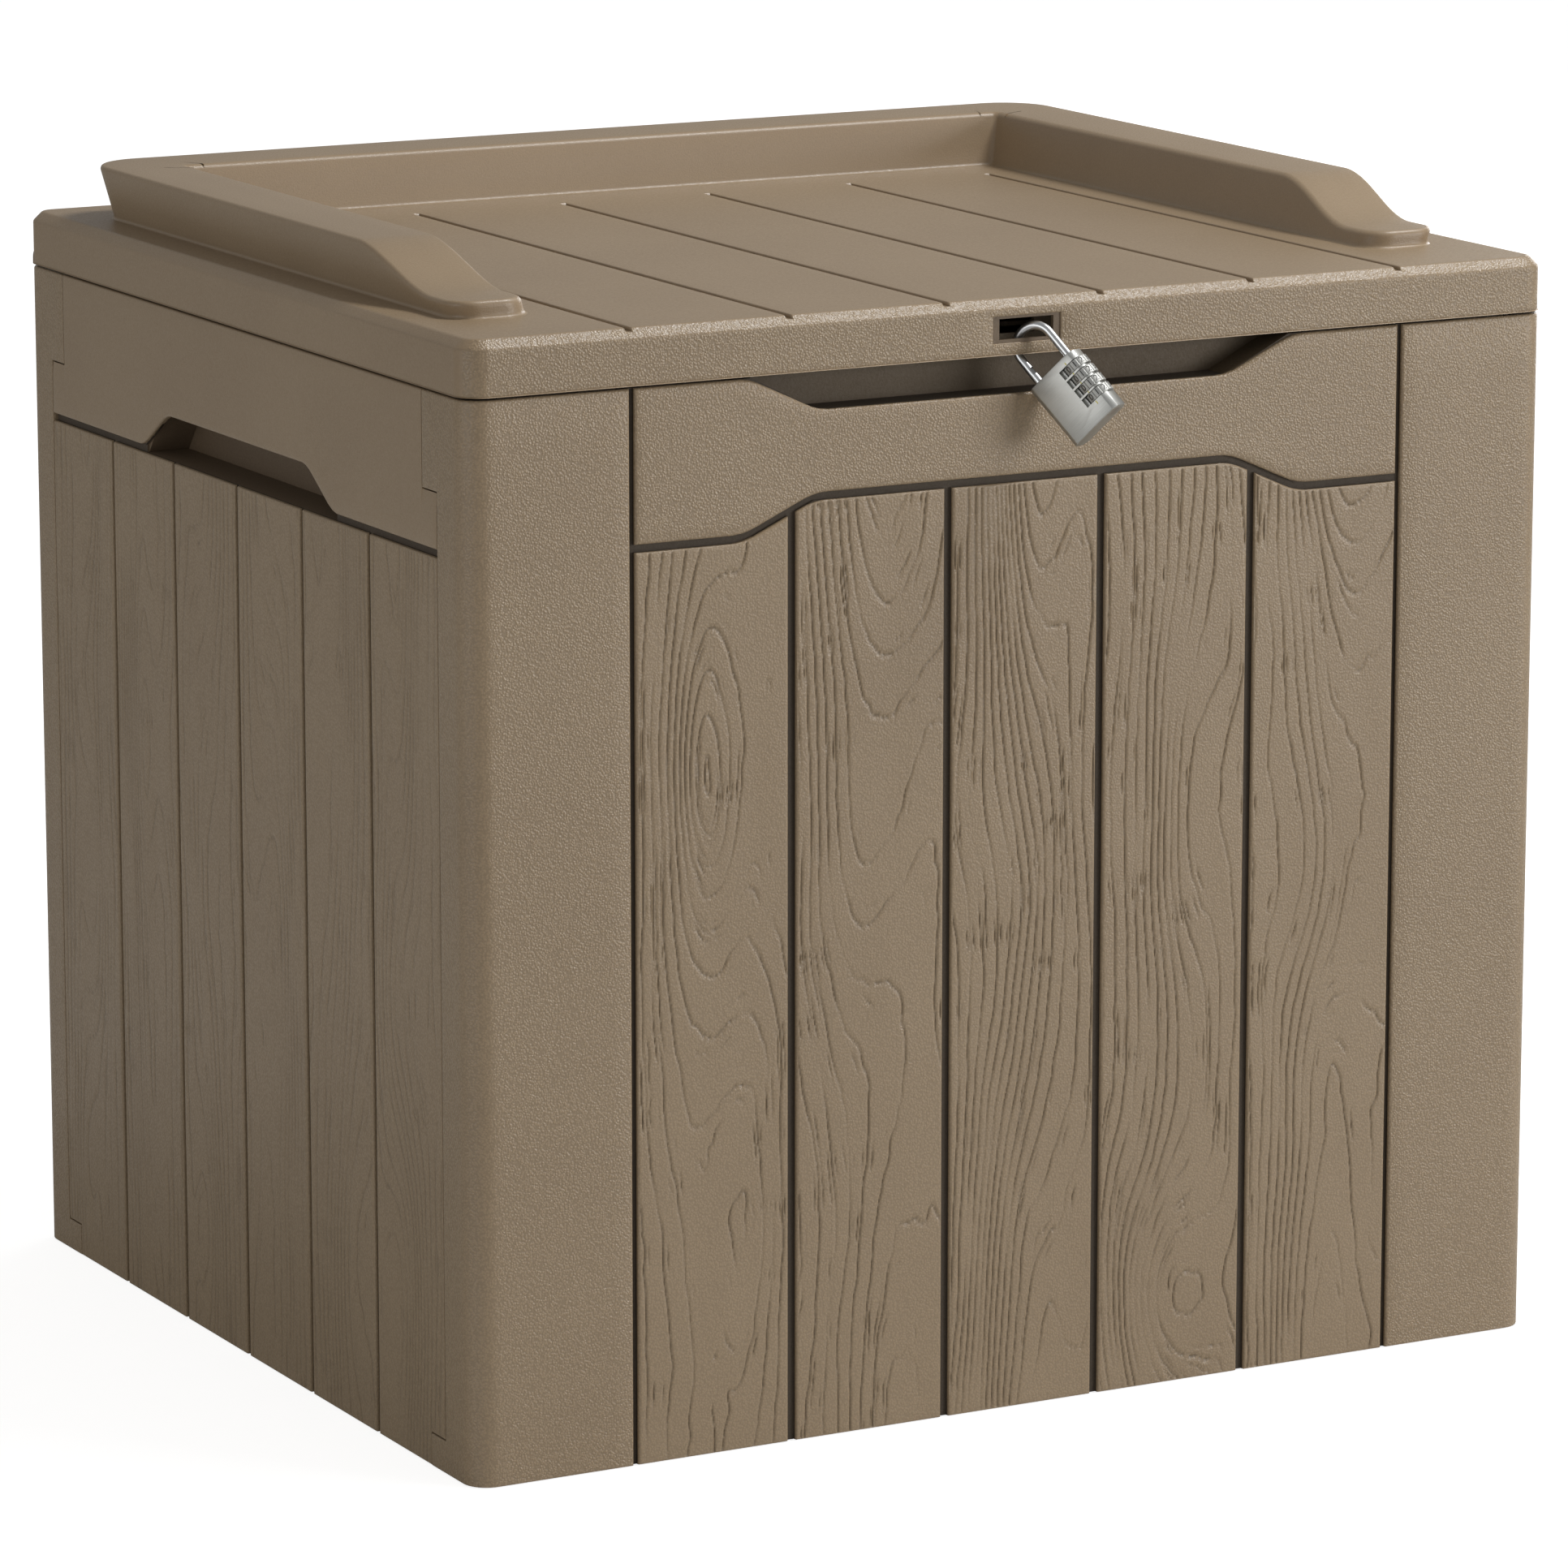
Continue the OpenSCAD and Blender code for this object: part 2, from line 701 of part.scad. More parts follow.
// Skirt, top, rail, bosses and knuckles in one shell, with everything cut from it
module lid_body() {
    difference() {
        union() {
            difference() {
                lid_blank(0, skirt_z, lid_top, lid_chamfer);
                lid_blank(skin, skirt_z - 1, lid_under, lid_chamfer - 1);
            }
            rail_solid(lid_under, 0);
            translate([0, 0, lid_under - rib]) linear_extrude(rib + eps) intersection() {
                lid_grooves(backing / 2);
                square([body_w - 3 * skin, body_d - 6 * skin], center = true);
            }
            for (x = [-1, 1], y = boss_y)
                translate([x * boss_x, y, liner_z + liner_t])
                    cylinder(h = lid_under + eps - liner_z - liner_t, r = boss_r);
            // knuckles and the webs that carry them
            for (side = [-1, 1], end = [-1, 1]) {
                middle = side * hinge_x + end * (knuckle_l + lid_knuckle_l + 2 * knuckle_gap) / 2;
                translate([middle - lid_knuckle_l / 2, axis_y, axis_z]) rotate([90, 0, 90])
                    linear_extrude(lid_knuckle_l) {
                        circle(knuckle_r);
                        translate([-knuckle_r, 0])
                            square([axis_inset + knuckle_r - skin + eps, lid_h - skin + eps]);
                    }
            }
        }
        // hollow of the rail, open below
        rail_solid(lid_under - 1, skin);
        translate([0, 0, lid_top - lid_groove_depth]) linear_extrude(rail_h) lid_grooves(0);
        // cove under the back edge, left off at the lid's knuckles
        difference() {
            translate([-half_w - 1, half_d, axis_z]) rotate([0, 90, 0])
                cylinder(h = body_w + 2, r = cove_r);
            for (side = [-1, 1], end = [-1, 1]) {
                middle = side * hinge_x + end * (knuckle_l + lid_knuckle_l + 2 * knuckle_gap) / 2;
                translate([middle - lid_knuckle_l / 2, 0, 0])
                    cube([lid_knuckle_l, axis_y + knuckle_r, lid_top]);
            }
        }
        // room for the back panel's knuckles
        for (side = [-1, 1])
            translate([side * hinge_x - knuckle_l / 2 - knuckle_gap, axis_y - knuckle_r - 3, axis_z - 9])
                cube([knuckle_l + 2 * knuckle_gap, 60, knuckle_r + 10.5]);
        // bores that hold the pins
        for (side = [-1, 1])
            translate([side * hinge_x - hinge_span / 2 - 1, axis_y, axis_z]) rotate([0, 90, 0])
                cylinder(h = hinge_span + 2, r = pin_r);
        // lock slot in its shallow frame
        from_front(-half_d - 1, -half_d + skin + 1)
            translate([-slot_w / 2, slot_z]) square([slot_w, slot_h]);
        // the square lower edge of the bar, which the bead takes the place of
        from_front(-half_d - 1, -half_d + skin + 1)
            translate([-slot_w / 2, skirt_z - 1]) square([slot_w, 1 + skin / 2]);
        from_front(-half_d - 1, -half_d + frame_depth)
            translate([-slot_w / 2 - frame_side, slot_z - frame_low])
                square([slot_w + 2 * frame_side, slot_h + frame_low + frame_high]);
        for (x = [-1, 1], y = boss_y)
            translate([x * boss_x, y, liner_z - 1]) cylinder(h = liner_t + 9, r = screw_r);
    }
}

module lid_liner() {
    rib_top = lid_under - 0.5;
    low_top = lid_under - rib - 0.5;
    color(resin_dark) difference() {
        union() {
            translate([-liner_half_w, liner_front, liner_z])
                cube([2 * liner_half_w, liner_back - liner_front, liner_t]);
            // ribs under the middle of each board
            for (i = [0:front_planks - 1])
                translate([-post_x + (i + 0.5) * plank_pitch - rib / 2, liner_front + 8, liner_z])
                    cube([rib, liner_back - liner_front - 16, rib_top - liner_z]);
            for (y = [liner_front + 30, -half_d / 3, half_d / 4, liner_back - 30])
                translate([-liner_half_w + 6, y - rib / 2, liner_z])
                    cube([2 * liner_half_w - 12, rib, low_top - liner_z]);
        }
        // room for the staple plate and the shackle
        translate([-staple_half_w - 4, -half_d, liner_z - 1])
            cube([2 * staple_half_w + 8, recess_depth + rib + 8, lid_h]);
        for (x = [-1, 1], y = boss_y)
            translate([x * boss_x, y, liner_z - 1]) cylinder(h = liner_t + 2, r = screw_r + 0.15);
        for (x = [-1, 1], y = boss_y)
            translate([x * boss_x, y, liner_z + liner_t]) cylinder(h = lid_h, r = boss_r + 1);
        // room for the hinge knuckles
        for (side = [-1, 1])
            translate([side * hinge_x - hinge_span / 2 - 3, axis_y - knuckle_r - 12, liner_z - 1])
                cube([hinge_span + 6, 60, lid_h]);
    }
}

module liner_screws() {
    color(steel) for (x = [-1, 1], y = boss_y)
        translate([x * boss_x, y, liner_z]) screw(liner_t + 7);
}

module hinge_pin(side) {
    color(steel) translate([side * hinge_x - hinge_span / 2, axis_y, axis_z])
        rotate([0, 90, 0]) cylinder(h = hinge_span, r = pin_r);
}

module hinge_pin_left() {
    hinge_pin(-1);
}

module hinge_pin_right() {
    hinge_pin(1);
}

// ---------- padlock ----------

// Places a shape from the padlock's own frame
module on_lock() {
    translate(lock_pos) rotate(lock_rot) children();
}

// The short leg is at -X with a small latch notch, the long one at +X
module padlock_shackle() {
    color(steel) on_lock() difference() {
        union() {
            translate([0, 0, leg_l]) rotate([90, 0, 0]) rotate_extrude(angle = 180)
                translate([leg_x, 0]) circle(shackle_r);
            translate([leg_x, 0, -long_leg]) cylinder(h = leg_l + long_leg, r = shackle_r);
            translate([-leg_x, 0, -short_leg]) cylinder(h = leg_l + short_leg, r = shackle_r);
        }
        translate([-leg_x + shackle_r * 0.45, -shackle_r, 5]) cube([shackle_r, 2 * shackle_r, 3.4]);
    }
}

module padlock_case() {
    w = case_w / 2;
    t = case_t / 2;
    c = case_chamfer;
    color(zinc) on_lock() difference() {
        translate([0, 0, -case_h]) linear_extrude(case_h)
            polygon([[-w + c, -t], [w - c, -t], [w, -t + c], [w, t - c],
                     [w - c, t], [-w + c, t], [-w, t - c], [-w, -t + c]]);
        for (i = [0:3]) {
            // room for a dial, and the window that shows it
            translate([leg_x, 0, dial_z(i) - dial_t / 2 - 0.15])
                cylinder(h = dial_t + 0.3, r = dial_r + 0.3);
            translate([leg_x - dial_r - 0.3, -t - 1, dial_z(i) - dial_t / 2 - 0.15])
                cube([w, 3.2, dial_t + 0.3]);
        }
        translate([leg_x, 0, -case_h + plug_h]) cylinder(h = case_h, r = shackle_r + leg_clear);
        translate([leg_x, 0, -case_h - 1]) cylinder(h = plug_h + 1.01, r = shackle_r + 1);
        translate([-leg_x, 0, -short_leg - 1.5]) cylinder(h = case_h, r = shackle_r + leg_clear);
    }
}

module padlock_bottom_plug() {
    color(steel) on_lock() translate([leg_x, 0, -case_h])
        cylinder(h = plug_h, r = shackle_r + 1);
}

module padlock_dial(i) {
    color(ink) on_lock() translate([leg_x, 0, dial_z(i) - dial_t / 2]) difference() {
        cylinder(h = dial_t, r = dial_r);
        translate([0, 0, -1]) cylinder(h = dial_t + 2, r = shackle_r + leg_clear);
    }
}

module padlock_dial_1() {
    padlock_dial(0);
}

module padlock_dial_2() {
    padlock_dial(1);
}

module padlock_dial_3() {
    padlock_dial(2);
}

module padlock_dial_4() {
    padlock_dial(3);
}

front_panel();
back_panel();
left_side_panel();
right_side_panel();
floor_panel();
corner_screws();
lid_shell();
lid_liner();
liner_screws();
hinge_pin_left();
hinge_pin_right();
padlock_shackle();
padlock_case();
padlock_bottom_plug();
padlock_dial_1();
padlock_dial_2();
padlock_dial_3();
padlock_dial_4();
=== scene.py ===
"""Moulded resin deck storage box with a lid rail and a combination padlock.

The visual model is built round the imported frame. Each wall is a moulded core with rounded
boards, posts and bands laid over it, the lid is a folded cover with a flared rail, and
the padlock is cut from its own solids. Lengths are in millimetres in the classes and
are turned to metres once, where a mesh is made.
"""
import logging
import math
from collections.abc import Callable, Sequence
from dataclasses import dataclass, field
from enum import Enum

import bmesh
import bpy
import numpy as np
from mathutils import Matrix, Vector


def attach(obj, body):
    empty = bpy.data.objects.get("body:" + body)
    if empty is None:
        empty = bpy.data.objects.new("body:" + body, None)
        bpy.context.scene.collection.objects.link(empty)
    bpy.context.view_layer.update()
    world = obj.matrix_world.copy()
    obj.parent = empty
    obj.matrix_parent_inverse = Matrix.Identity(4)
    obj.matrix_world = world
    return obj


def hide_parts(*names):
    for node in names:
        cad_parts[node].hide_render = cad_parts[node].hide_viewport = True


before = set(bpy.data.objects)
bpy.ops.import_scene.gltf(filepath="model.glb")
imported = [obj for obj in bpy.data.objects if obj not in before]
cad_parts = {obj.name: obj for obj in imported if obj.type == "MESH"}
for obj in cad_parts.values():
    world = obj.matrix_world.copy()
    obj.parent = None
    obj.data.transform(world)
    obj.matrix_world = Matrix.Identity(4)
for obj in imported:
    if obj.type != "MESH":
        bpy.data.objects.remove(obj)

LOG = logging.getLogger("deck_box")
MM = 0.001
# points this close to an outer face, in millimetres, count as on it
ON_FACE = 0.05
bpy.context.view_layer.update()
Array = np.ndarray
Line = Callable[[Array], Array]


# ---------------------------------------------------------------- sizes


@dataclass(frozen=True)
class BoxPlan:
    """Sizes that the walls and the lid share, in millimetres."""

    half_w: float = 280.0
    half_d: float = 244.0
    corner_r: float = 12.0
    wall_top: float = 489.5
    skirt_z: float = 490.5
    lid_top: float = 516.0
    post_x: float = 199.0
    post_gap: float = 2.4
    plank_gap: float = 4.0
    side_gap: float = 3.0
    front_planks: int = 5
    side_planks: int = 6
    band_z: float = 420.0
    band_gap: float = 3.5
    wrap: float = 29.5
    hook: float = 14.5
    hook_top: float = 44.0
    hook_bottom: float = 15.0
    seam: float = 0.7
    groove_depth: float = 2.6
    hair: float = 0.05

    @property
    def pitch(self) -> float:
        """Distance between the front planks' middles."""
        return 2 * self.post_x / self.front_planks

    def reach(self, length: float) -> float:
        """Distance along the outline, from the middle of the front, of a reach round the corner."""
        return self.half_w - self.corner_r + self.corner_r * math.pi / 2 + length - self.corner_r

    def inset(self, points: Array) -> tuple[Array, Array]:
        """How far points lie inside the box's upright outline.

        Args:
            points: rows of x, y, z.

        Returns:
            The distance in from the outline, and the outward directions in plan.
        """
        at = np.abs(points[:, :2]) - (np.array([self.half_w, self.half_d]) - self.corner_r)
        over = np.maximum(at, 0)
        beyond = np.hypot(over[:, 0], over[:, 1])
        distance = self.corner_r - beyond - np.minimum(at.max(1), 0)
        flat = np.where(at[:, :1] >= at[:, 1:], [[1.0, 0.0]], [[0.0, 1.0]])
        round_way = over / np.maximum(beyond, 1e-9)[:, None]
        way = np.where(beyond[:, None] > 1e-9, round_way, flat)
        return distance, way * np.sign(points[:, :2])


PLAN = BoxPlan()


class Wall(Enum):
    """The four walls of the box, named by the side they stand on."""

    FRONT = "front"
    BACK = "back"
    LEFT = "left"
    RIGHT = "right"

    def place(self, along: Array, height: Array, depth: Array) -> Array:
        """Turns wall coordinates to points of the frame.

        Args:
            along: distance along the wall's outline from its middle.
            height: height above the ground.
            depth: distance in from the outer face.

        Returns:
            An array with x, y, z in its last axis.
        """
        plan = PLAN
        if self in (Wall.LEFT, Wall.RIGHT):
            side = 1.0 if self is Wall.RIGHT else -1.0
            return np.stack([side * (plan.half_w - depth), along, height], -1)
        flat = plan.half_w - plan.corner_r
        arc = plan.corner_r * math.pi / 2
        past = np.abs(along) - flat
        turn = np.clip(past, 0, arc) / plan.corner_r
        x = np.sign(along) * (np.minimum(np.abs(along), flat) + (plan.corner_r - depth) * np.sin(turn))
        y = plan.corner_r - plan.half_d - (plan.corner_r - depth) * np.cos(turn)
        y = y + np.maximum(past - arc, 0)
        way = 1.0 if self is Wall.FRONT else -1.0
        return np.stack([way * x, way * y, height], -1)


# ---------------------------------------------------------------- mesh tools


def rounding(distance: Array, radius: float) -> Array:
    """Depth of a rounded edge at a distance in from it."""
    part = np.clip(distance / radius, 0, 1)
    return radius * (1 - np.sqrt(np.clip(1 - (1 - part) ** 2, 0, 1)))


def edge_steps(radius: float, count: int = 4) -> list[float]:
    """Distances in from an edge where its rounding is sampled."""
    return [radius * (1 - math.cos(math.pi / 2 * k / count)) for k in range(count + 1)]


def stations(low: float, high: float, step: float, radii: tuple[float, float],
             extra: Sequence[float] = ()) -> Array:
    """Places of grid lines between two rounded edges.

    Args:
        low: the lower edge.
        high: the upper edge.
        step: longest distance between two lines.
        radii: rounding at the lower and the upper edge.
        extra: places that also get a line.

    Returns:
        The places in rising order.
    """
    start, end = low + radii[0], high - radii[1]
    count = max(1, math.ceil((end - start) / step))
    places = [low + e for e in edge_steps(radii[0])] + [high - e for e in edge_steps(radii[1])]
    places += list(np.linspace(start, end, count + 1)) + [e for e in extra if low < e < high]
    places = np.unique(np.round(places, 3))
    return places[np.concatenate([[True], np.diff(places) > 0.02])]


def rows(knots: Sequence[Array], step: float, radii: tuple[float, float]) -> Array:
    """Heights of grid rows that follow a lower line, lines between, and an upper line.

    Args:
        knots: heights of each line at every column.
        step: longest distance between two rows.
        radii: rounding at the lower and the upper line.

    Returns:
        An array of columns by rows.
    """
    low, high = knots[0], knots[-1]
    out = [low + e for e in edge_steps(radii[0])]
    spans = [low + radii[0], *knots[1:-1], high - radii[1]]
    for a, b in zip(spans[:-1], spans[1:]):
        count = max(1, math.ceil(float(np.max(b - a)) / step))
        out += [a + (b - a) * k / count for k in range(1, count + 1)]
    out += [high - e for e in reversed(edge_steps(radii[1])[:-1])]
    return np.stack(out, -1)


def distance_to(along: Array, height: Array, line: Sequence[tuple[float, float]]) -> Array:
    """Distance of grid points from a line of points on the wall.

    Args:
        along: distance of each grid point along the wall.
        height: its height.
        line: corners of the line, as along and height.

    Returns:
        The shortest distance of each grid point from the line.
    """
    best = np.full(along.shape, np.inf)
    for (x0, z0), (x1, z1) in zip(line[:-1], line[1:]):
        dx, dz = x1 - x0, z1 - z0
        length = max(dx * dx + dz * dz, 1e-9)
        part = np.clip(((along - x0) * dx + (height - z0) * dz) / length, 0, 1)
        best = np.minimum(best, np.hypot(along - x0 - part * dx, height - z0 - part * dz))
    return best


def closed_sheet(front: Array, back: Array, kept: Array, capped: bool) -> tuple[Array, Array, list]:
    """Closes a grid into a solid sheet.

    Args:
        front: outer points, columns by rows.
        back: inner points of the same grid.
        kept: which cells of the grid are there.
        capped: whether one flat face closes the back, where the outline has no hole.

    Returns:
        Points, four-sided faces and other faces.
    """
    n, m = front.shape[:2]
    ids = np.arange(n * m).reshape(n, m)
    shift = n * m
    a, b, c, d = ids[:-1, :-1], ids[1:, :-1], ids[1:, 1:], ids[:-1, 1:]
    quads = [np.stack([a, b, c, d], -1)[kept]]
    if not capped:
        quads.append(np.stack([d, c, b, a], -1)[kept] + shift)
    pad = np.pad(kept, 1)
    sides = ((a, b, pad[1:-1, :-2]), (b, c, pad[2:, 1:-1]), (c, d, pad[1:-1, 2:]), (d, a, pad[:-2, 1:-1]))
    after: dict[int, int] = {}
    for start, end, beside in sides:
        rim = kept & ~beside
        s, e = start[rim], end[rim]
        quads.append(np.stack([e, s, s + shift, e + shift], -1))
        if capped:
            after.update(zip(e.tolist(), s.tolist()))
    others: list[list[int]] = []
    if capped:
        first = next(iter(after))
        loop = [first]
        while after[loop[-1]] != first:
            loop.append(after[loop[-1]])
        others.append([i + shift for i in reversed(loop)])
    points = np.concatenate([front.reshape(-1, 3), back.reshape(-1, 3)])
    return points, np.concatenate(quads), others


def wrapped_grid(points: Array, across: bool = True) -> Array:
    """Faces of a grid that closes on itself along its first axis, and along the second if across."""
    n, m = points.shape[:2]
    ids = np.arange(n * m).reshape(n, m)
    ids = np.concatenate([ids, ids[:1]])
    if across:
        ids = np.concatenate([ids, ids[:, :1]], 1)
    return np.stack([ids[:-1, :-1], ids[1:, :-1], ids[1:, 1:], ids[:-1, 1:]], -1).reshape(-1, 4)


def build_mesh(name: str, points: Array, quads: Array, others: Sequence[Sequence[int]] = (),
               crease: float = 35.0, values: dict[str, Array] | None = None) -> bpy.types.Mesh:
    """Makes a mesh from points in millimetres, drops what no face uses and turns it outwards.

    Args:
        name: the mesh's name.
        points: rows of x, y, z.
        quads: rows of four corners.
        others: faces with another number of corners.
        crease: edges steeper than this, in degrees, stay sharp.
        values: named numbers, one a point.

    Returns:
        The mesh, in metres.
    """
    corners = [np.asarray(quads, int).reshape(-1)] + [np.asarray(f, int) for f in others]
    totals = np.array([4] * len(quads) + [len(f) for f in others])
    corners = np.concatenate(corners)
    used, corners = np.unique(corners, return_inverse=True)
    points = points[used]
    starts = np.concatenate([[0], np.cumsum(totals)[:-1]])
    fan_a = points[corners[starts]]
    volume = 0.0
    if len(quads):
        q = points[corners[: 4 * len(quads)].reshape(-1, 4)]
        volume = float(np.einsum("ij,ij->i", fan_a[: len(quads)],
                                 np.cross(q[:, 1], q[:, 2]) + np.cross(q[:, 2], q[:, 3])).sum())
    for face in others:
        index = np.searchsorted(used, face)
        p = points[index]
        volume += float(np.einsum("j,ij->", p[0], np.cross(p[1:-1], p[2:])))
    mesh = bpy.data.meshes.new(name)
    mesh.vertices.add(len(points))
    mesh.vertices.foreach_set("co", (points * MM).astype(np.float32).ravel())
    mesh.loops.add(len(corners))
    mesh.loops.foreach_set("vertex_index", corners.astype(np.int32))
    mesh.polygons.add(len(totals))
    mesh.polygons.foreach_set("loop_start", starts.astype(np.int32))
    mesh.polygons.foreach_set("use_smooth", np.ones(len(totals), bool))
    for key, value in (values or {}).items():
        layer = mesh.attributes.new(key, "FLOAT", "POINT")
        layer.data.foreach_set("value", value.reshape(-1)[used].astype(np.float32))
    mesh.update(calc_edges=True)
    if volume < 0:
        mesh.flip_normals()
    mesh.validate()
    mesh.set_sharp_from_angle(angle=math.radians(crease))
    return mesh


def add_piece(name: str, mesh: bpy.types.Mesh, body: str, stands_for: Sequence[str],
              material: bpy.types.Material, place: Matrix | None = None) -> bpy.types.Object:
    """Puts a mesh into the scene as a piece of the box.

    Args:
        name: the piece's name.
        mesh: its mesh.
        body: the moving body that carries it.
        stands_for: solids of the frame that it replaces.
        material: its surface.
        place: its own place, if its mesh isn't drawn in the frame.

    Returns:
        The new object.
    """
    piece = bpy.data.objects.new(name, mesh)
    bpy.context.scene.collection.objects.link(piece)
    if place is not None:
        piece.matrix_world = place
    mesh.materials.clear()
    mesh.materials.append(material)
    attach(piece, body)
    if stands_for:
        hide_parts(*stands_for)
    LOG.info("%s: %d faces on %s", name, len(mesh.polygons), body)
    return piece


def soft_noise(u: Array, v: Array, seed: int) -> Array:
    """Smooth random heights from -1 to 1 with cells one unit wide.

    Args:
        u: first coordinate of each point.
        v: second coordinate.
        seed: start of the random draw.

    Returns:
        One height for each point.
    """
    size = 64
    table = np.random.default_rng(seed).uniform(-1, 1, (size, size))
    iu, iv = np.floor(u).astype(int), np.floor(v).astype(int)
    fu, fv = u - iu, v - iv
    fu, fv = fu * fu * (3 - 2 * fu), fv * fv * (3 - 2 * fv)
    iu, iv = iu % size, iv % size
    ju, jv = (iu + 1) % size, (iv + 1) % size
    low = table[iu, iv] * (1 - fu) + table[ju, iv] * fu
    high = table[iu, jv] * (1 - fu) + table[ju, jv] * fu
    return low * (1 - fv) + high * fv


def soft_line(points: Sequence[tuple[float, float]], window: float) -> Line:
    """A line through points whose bends are rounded over a window.

    Args:
        points: the line's corners, in rising order.
        window: length over which a bend is spread.

    Returns:
        A function from a place to the line's height there.
    """
    x, z = np.array(points, float).T
    shifts = np.linspace(-window / 2, window / 2, 13)
    return lambda at: np.mean([np.interp(np.asarray(at) + s, x, z) for s in shifts], 0)


# ---------------------------------------------------------------- finishes


def linear(hex_colour: str) -> tuple[float, float, float, float]:
    """Turns an sRGB hex colour to linear red, green, blue and alpha."""
    parts = [int(hex_colour[k:k + 2], 16) / 255 for k in (1, 3, 5)]
    red, green, blue = ((c / 12.92) if c <= 0.04045 else ((c + 0.055) / 1.055) ** 2.4 for c in parts)
    return red, green, blue, 1.0


def add_node(tree: bpy.types.NodeTree, kind: str, settings: dict | None = None,
             sockets: dict | None = None) -> bpy.types.Node:
    """Adds one node with its settings, values and links.

    Args:
        tree: the node tree.
        kind: Blender's name for the node.
        settings: the node's own properties.
        sockets: input values, or output sockets to link to them, by name or number.

    Returns:
        The node.
    """
    node = tree.nodes.new(kind)
    for key, value in (settings or {}).items():
        setattr(node, key, value)
    for key, value in (sockets or {}).items():
        if isinstance(value, bpy.types.NodeSocket):
            tree.links.new(value, node.inputs[key])
        else:
            node.inputs[key].default_value = value
    return node


def new_material(name: str) -> tuple[bpy.types.Material, bpy.types.NodeTree, bpy.types.Node]:
    """An empty material with its tree and its own coordinates node."""
    material = bpy.data.materials.new(name)
    material.use_nodes = True
    tree = material.node_tree
    tree.nodes.clear()
    return material, tree, add_node(tree, "ShaderNodeTexCoord")


@dataclass(frozen=True)
class MouldedResin:
    """Polypropylene resin as it leaves a textured mould: soft gloss on a fine cast grain."""

    name: str
    shade: str
    deep: str
    grain_mm: float
    grain_depth: float
    roughness: float
    pebbles: bool = False
    woodgrain: bool = False

    def material(self) -> bpy.types.Material:
        """The resin's material: patchy tone, grain hollows darkened as painted shade, grain tops lightened as
        painted highlight and glossier.
        """
        material, tree, place = new_material(self.name)
        at = place.outputs["Object"]
        # slow patches of shade, a hand wide, as thick mouldings show
        patches = add_node(tree, "ShaderNodeTexNoise", None, {"Vector": at, "Scale": 1 / (90 * MM),
                                                              "Detail": 3.0})
        # the cast grain itself, pebbles or fine satin, at its real width
        wobble = add_node(tree, "ShaderNodeTexNoise", None,
                          {"Vector": at, "Scale": 0.45 / (self.grain_mm * MM), "Detail": 2.0})
        bent = add_node(tree, "ShaderNodeVectorMath", {"operation": "MULTIPLY_ADD"},
                        {0: wobble.outputs["Color"], 1: (self.grain_mm * MM,) * 3, 2: at})
        if self.pebbles:
            grain = add_node(tree, "ShaderNodeTexVoronoi", {"feature": "SMOOTH_F1"},
                             {"Vector": bent.outputs[0], "Scale": 1 / (self.grain_mm * MM),
                              "Smoothness": 0.18})
            raised = add_node(tree, "ShaderNodeMapRange", None,
                              {"Value": grain.outputs["Distance"], "From Min": 0.7, "From Max": 0.12})
        else:
            grain = add_node(tree, "ShaderNodeTexNoise", None,
                             {"Vector": bent.outputs[0], "Scale": 1 / (self.grain_mm * MM), "Detail": 3.0,
                              "Roughness": 0.6})
            raised = add_node(tree, "ShaderNodeMapRange", None,
                              {"Value": grain.outputs["Fac"], "From Min": 0.3, "From Max": 0.7})
        height = raised.outputs[0]
        if self.woodgrain:
            # fine fibres that run up the plank between its cut lines
            along = add_node(tree, "ShaderNodeVectorMath", {"operation": "MULTIPLY"},
                             {0: at, 1: (1.0, 1.0, 0.12)})
            fibres = add_node(tree, "ShaderNodeTexNoise", None,
                              {"Vector": along.outputs[0], "Scale": 1 / (1.1 * MM), "Detail": 2.0})
            mixed = add_node(tree, "ShaderNodeMix", {"data_type": "FLOAT"},
                             {"Factor": 0.3, 2: height, 3: fibres.outputs["Fac"]})
            height = mixed.outputs[0]
        shade = add_node(tree, "ShaderNodeMix", {"data_type": "RGBA"},
                         {"Factor": patches.outputs["Fac"], 6: linear(self.shade), 7: linear(self.deep)})
        # painted shade and highlight: the grain's hollows are darkened and its tops lightened in colour
        valley = add_node(tree, "ShaderNodeMapRange", None,
                          {"Value": height, "To Min": 0.82 if self.pebbles else 0.93,
                           "To Max": 1.09 if self.pebbles else 1.04})
        colour = add_node(tree, "ShaderNodeVectorMath", {"operation": "SCALE"},
                          {0: shade.outputs[2], "Scale": valley.outputs[0]})
        if self.woodgrain:
            # the cut lines are darkened in colour: painted shade in the engraved grain
            cut = add_node(tree, "ShaderNodeAttribute", {"attribute_name": "cut"})
            darker = add_node(tree, "ShaderNodeMapRange", None,
                              {"Value": cut.outputs["Fac"], "To Min": 1.0, "To Max": 0.7})
            colour = add_node(tree, "ShaderNodeVectorMath", {"operation": "SCALE"},
                              {0: colour.outputs[0], "Scale": darker.outputs[0]})
        rough = add_node(tree, "ShaderNodeMapRange", None,
                         {"Value": height, "To Min": min(self.roughness + 0.12, 1.0),
                          "To Max": self.roughness - 0.06})
        bump = add_node(tree, "ShaderNodeBump", None,
                        {"Height": height, "Distance": self.grain_depth * MM, "Strength": 1.0})
        shader = add_node(tree, "ShaderNodeBsdfPrincipled", None,
                          {"Base Color": colour.outputs[0], "Roughness": rough.outputs[0], "IOR": 1.49,
                           "Normal": bump.outputs[0]})
        add_node(tree, "ShaderNodeOutputMaterial", None, {"Surface": shader.outputs[0]})
        return material


